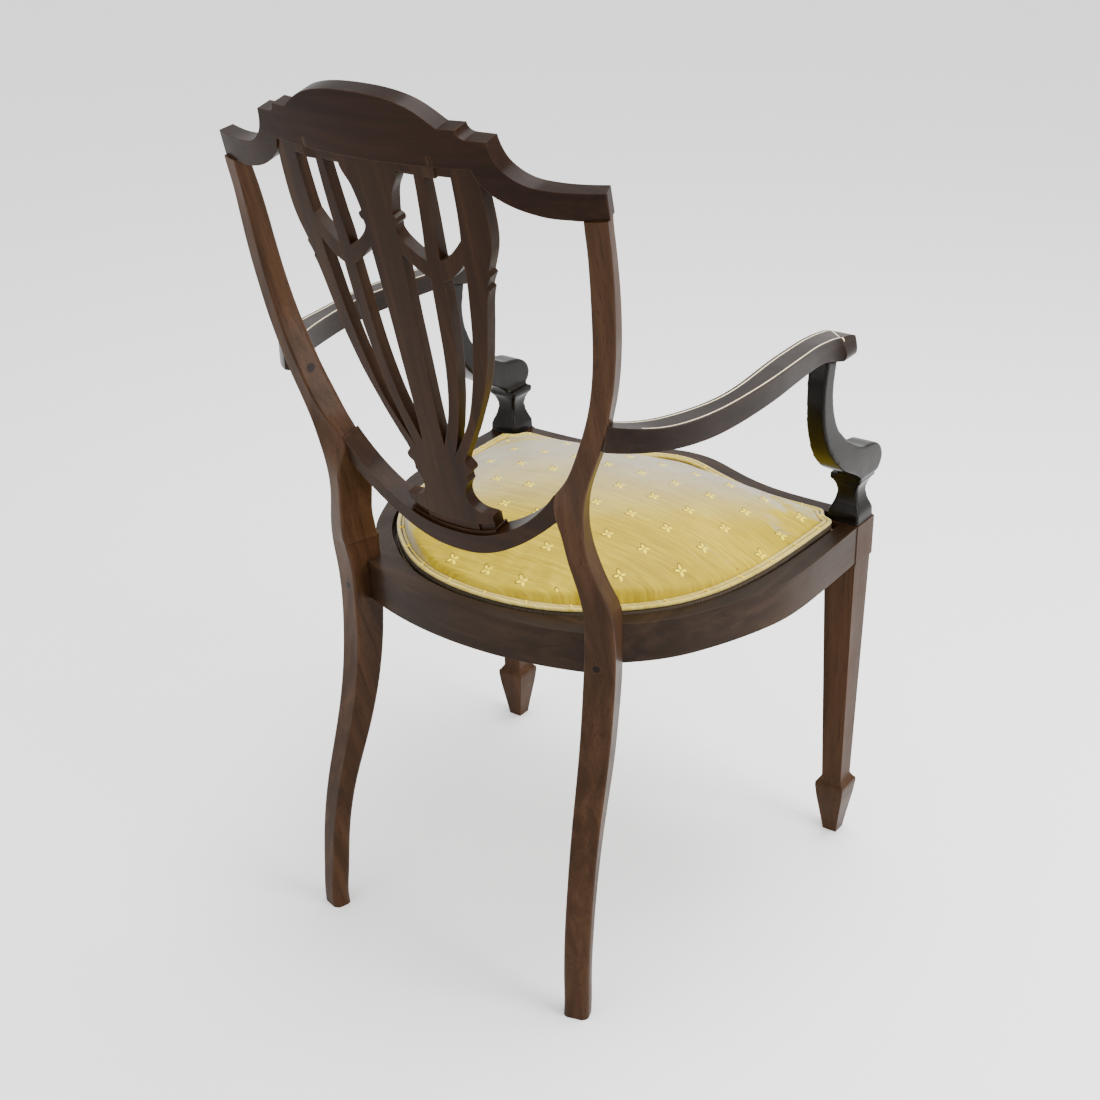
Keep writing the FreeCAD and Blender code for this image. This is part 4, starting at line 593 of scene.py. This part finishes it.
# the cloth takes up the stuffing: pinned at the sewn edge and underneath, swollen by pressure, movement capped
group = cushion.vertex_groups.new(name="sewn")
pins = [i for i in range(len(verts)) if i < 2 * A or i >= base]
group.add(pins, 1.0, "REPLACE")
cl = cushion.modifiers.new("swell", "CLOTH")
st = cl.settings
st.quality = 6
st.mass = 0.25
st.tension_stiffness = 18
st.compression_stiffness = 18
st.shear_stiffness = 8
st.bending_stiffness = 0.6
st.vertex_group_mass = "sewn"
st.use_pressure = True
st.uniform_pressure_force = 3.0
st.effector_weights.gravity = 0.0
st.shrink_min = -0.012
cl.collision_settings.use_collision = False
cl.collision_settings.use_self_collision = False
cl.point_cache.frame_start = 1
cl.point_cache.frame_end = 20
for fr in range(1, 21):
    bpy.context.scene.frame_set(fr)
dg = bpy.context.evaluated_depsgraph_get()
ev = cushion.evaluated_get(dg)
co = np.array([v.co for v in ev.data.vertices], float)
cushion.modifiers.remove(cl)
bpy.context.scene.frame_set(1)
if co.shape == rest.shape and np.isfinite(co).all():
    move = co - rest
    far = np.linalg.norm(move, axis=1)
    cap = 0.0030
    scale = np.where(far > cap, cap / np.maximum(far, 1e-9), 1.0)
    co = rest + move * scale[:, None]
    for v, c in zip(cushion.data.vertices, co):
        v.co = c
cushion.vertex_groups.clear()

# slight hand-made waver and the pulls just inside the sewn edge
me = cushion.data
edge_np = edge_line
for v in me.vertices:
    if v.index >= base:
        continue
    p = np.array([v.co.x, v.co.y])
    d = float(np.sqrt(((edge_np - p) ** 2).sum(1).min()))
    pull = math.exp(-((d - 0.020) / 0.011) ** 2)
    n1 = noise.noise(Vector((v.co.x * 26.0, v.co.y * 26.0, 3.1)))
    n2 = noise.noise(Vector((v.co.x * 7.0, v.co.y * 7.0, 9.4)))
    fade = min(1.0, d / 0.008)
    v.co.z += fade * (-0.0011 * pull * (0.55 + 0.9 * max(0.0, n1)) + 0.0009 * n2 + 0.0003 * n1)
me.update()
sub = cushion.modifiers.new("fine", "SUBSURF")
sub.levels = 1
sub.render_levels = 1
bm = bmesh.new()
bm.from_mesh(me)
bmesh.ops.recalc_face_normals(bm, faces=bm.faces)
bm.to_mesh(me)
bm.free()

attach(cushion, "root")
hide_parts("seat_cover", "seat_stuffing")
for o in cords + [tape, knots]:
    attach(o, "root")
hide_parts("seat_piping")

# ---------------------------------------------------------------- the studio
floor_mat = bpy.data.materials.new("pale_floor")
floor_mat.use_nodes = True
fb = floor_mat.node_tree.nodes["Principled BSDF"]
fb.inputs["Base Color"].default_value = (0.90, 0.90, 0.90, 1)
fb.inputs["Roughness"].default_value = 0.85
fv, ff = [], []
rows_ = 24
for i in range(rows_ + 1):
    for j in range(rows_ + 1):
        fv.append(((i / rows_ - 0.5) * 30.0, (j / rows_ - 0.5) * 30.0, 0.0))
for i in range(rows_):
    for j in range(rows_):
        a = i * (rows_ + 1) + j
        ff.append((a, a + rows_ + 1, a + rows_ + 2, a + 1))
floor = mesh_object("floor", fv, ff, floor_mat)

world = bpy.data.worlds.new("studio")
bpy.context.scene.world = world
world.use_nodes = True
bg = world.node_tree.nodes["Background"]
bg.inputs["Color"].default_value = (1.0, 1.0, 1.0, 1.0)
bg.inputs["Strength"].default_value = 1.7


def softbox(name, place, target, size, power, colour=(1, 1, 1)):
    data = bpy.data.lights.new(name, "AREA")
    data.shape = "RECTANGLE"
    data.size, data.size_y = size
    data.energy = power
    data.color = colour
    o = bpy.data.objects.new(name, data)
    bpy.context.scene.collection.objects.link(o)
    o.location = place
    o.rotation_euler = (Vector(target) - Vector(place)).to_track_quat("-Z", "Y").to_euler()
    return o


softbox("key_right", (-2.6, -0.2, 1.5), (0, 0, 0.5), (1.2, 1.8), 95.0)
softbox("top_box", (-0.3, -0.7, 2.6), (0, 0, 0.5), (1.6, 1.2), 75.0)
softbox("rear_fill", (0.6, 2.6, 0.9), (0, 0.2, 0.5), (1.6, 1.2), 24.0)

cam = bpy.data.cameras.new("photo_camera")
cam.sensor_fit = "HORIZONTAL"
cam.sensor_width = 36.0
cam.lens = 1726.117 / 1100.0 * 36.0
cam.clip_start, cam.clip_end = 0.05, 60.0
cam_obj = bpy.data.objects.new("photo_camera", cam)
bpy.context.scene.collection.objects.link(cam_obj)
r_ = Vector((-0.81462276, -0.57969215, -0.01862177))
u_ = Vector((0.24609717, -0.37454933, 0.89395133))
b_ = Vector((-0.52519134, 0.72365033, 0.44777701))
mat_ = Matrix(((r_.x, u_.x, b_.x, -0.99741338), (r_.y, u_.y, b_.y, 1.44417877 + SHIFT), (r_.z, u_.z, b_.z, 1.27296191),
               (0, 0, 0, 1)))
cam_obj.matrix_world = mat_
bpy.context.scene.camera = cam_obj

bpy.context.view_layer.update()
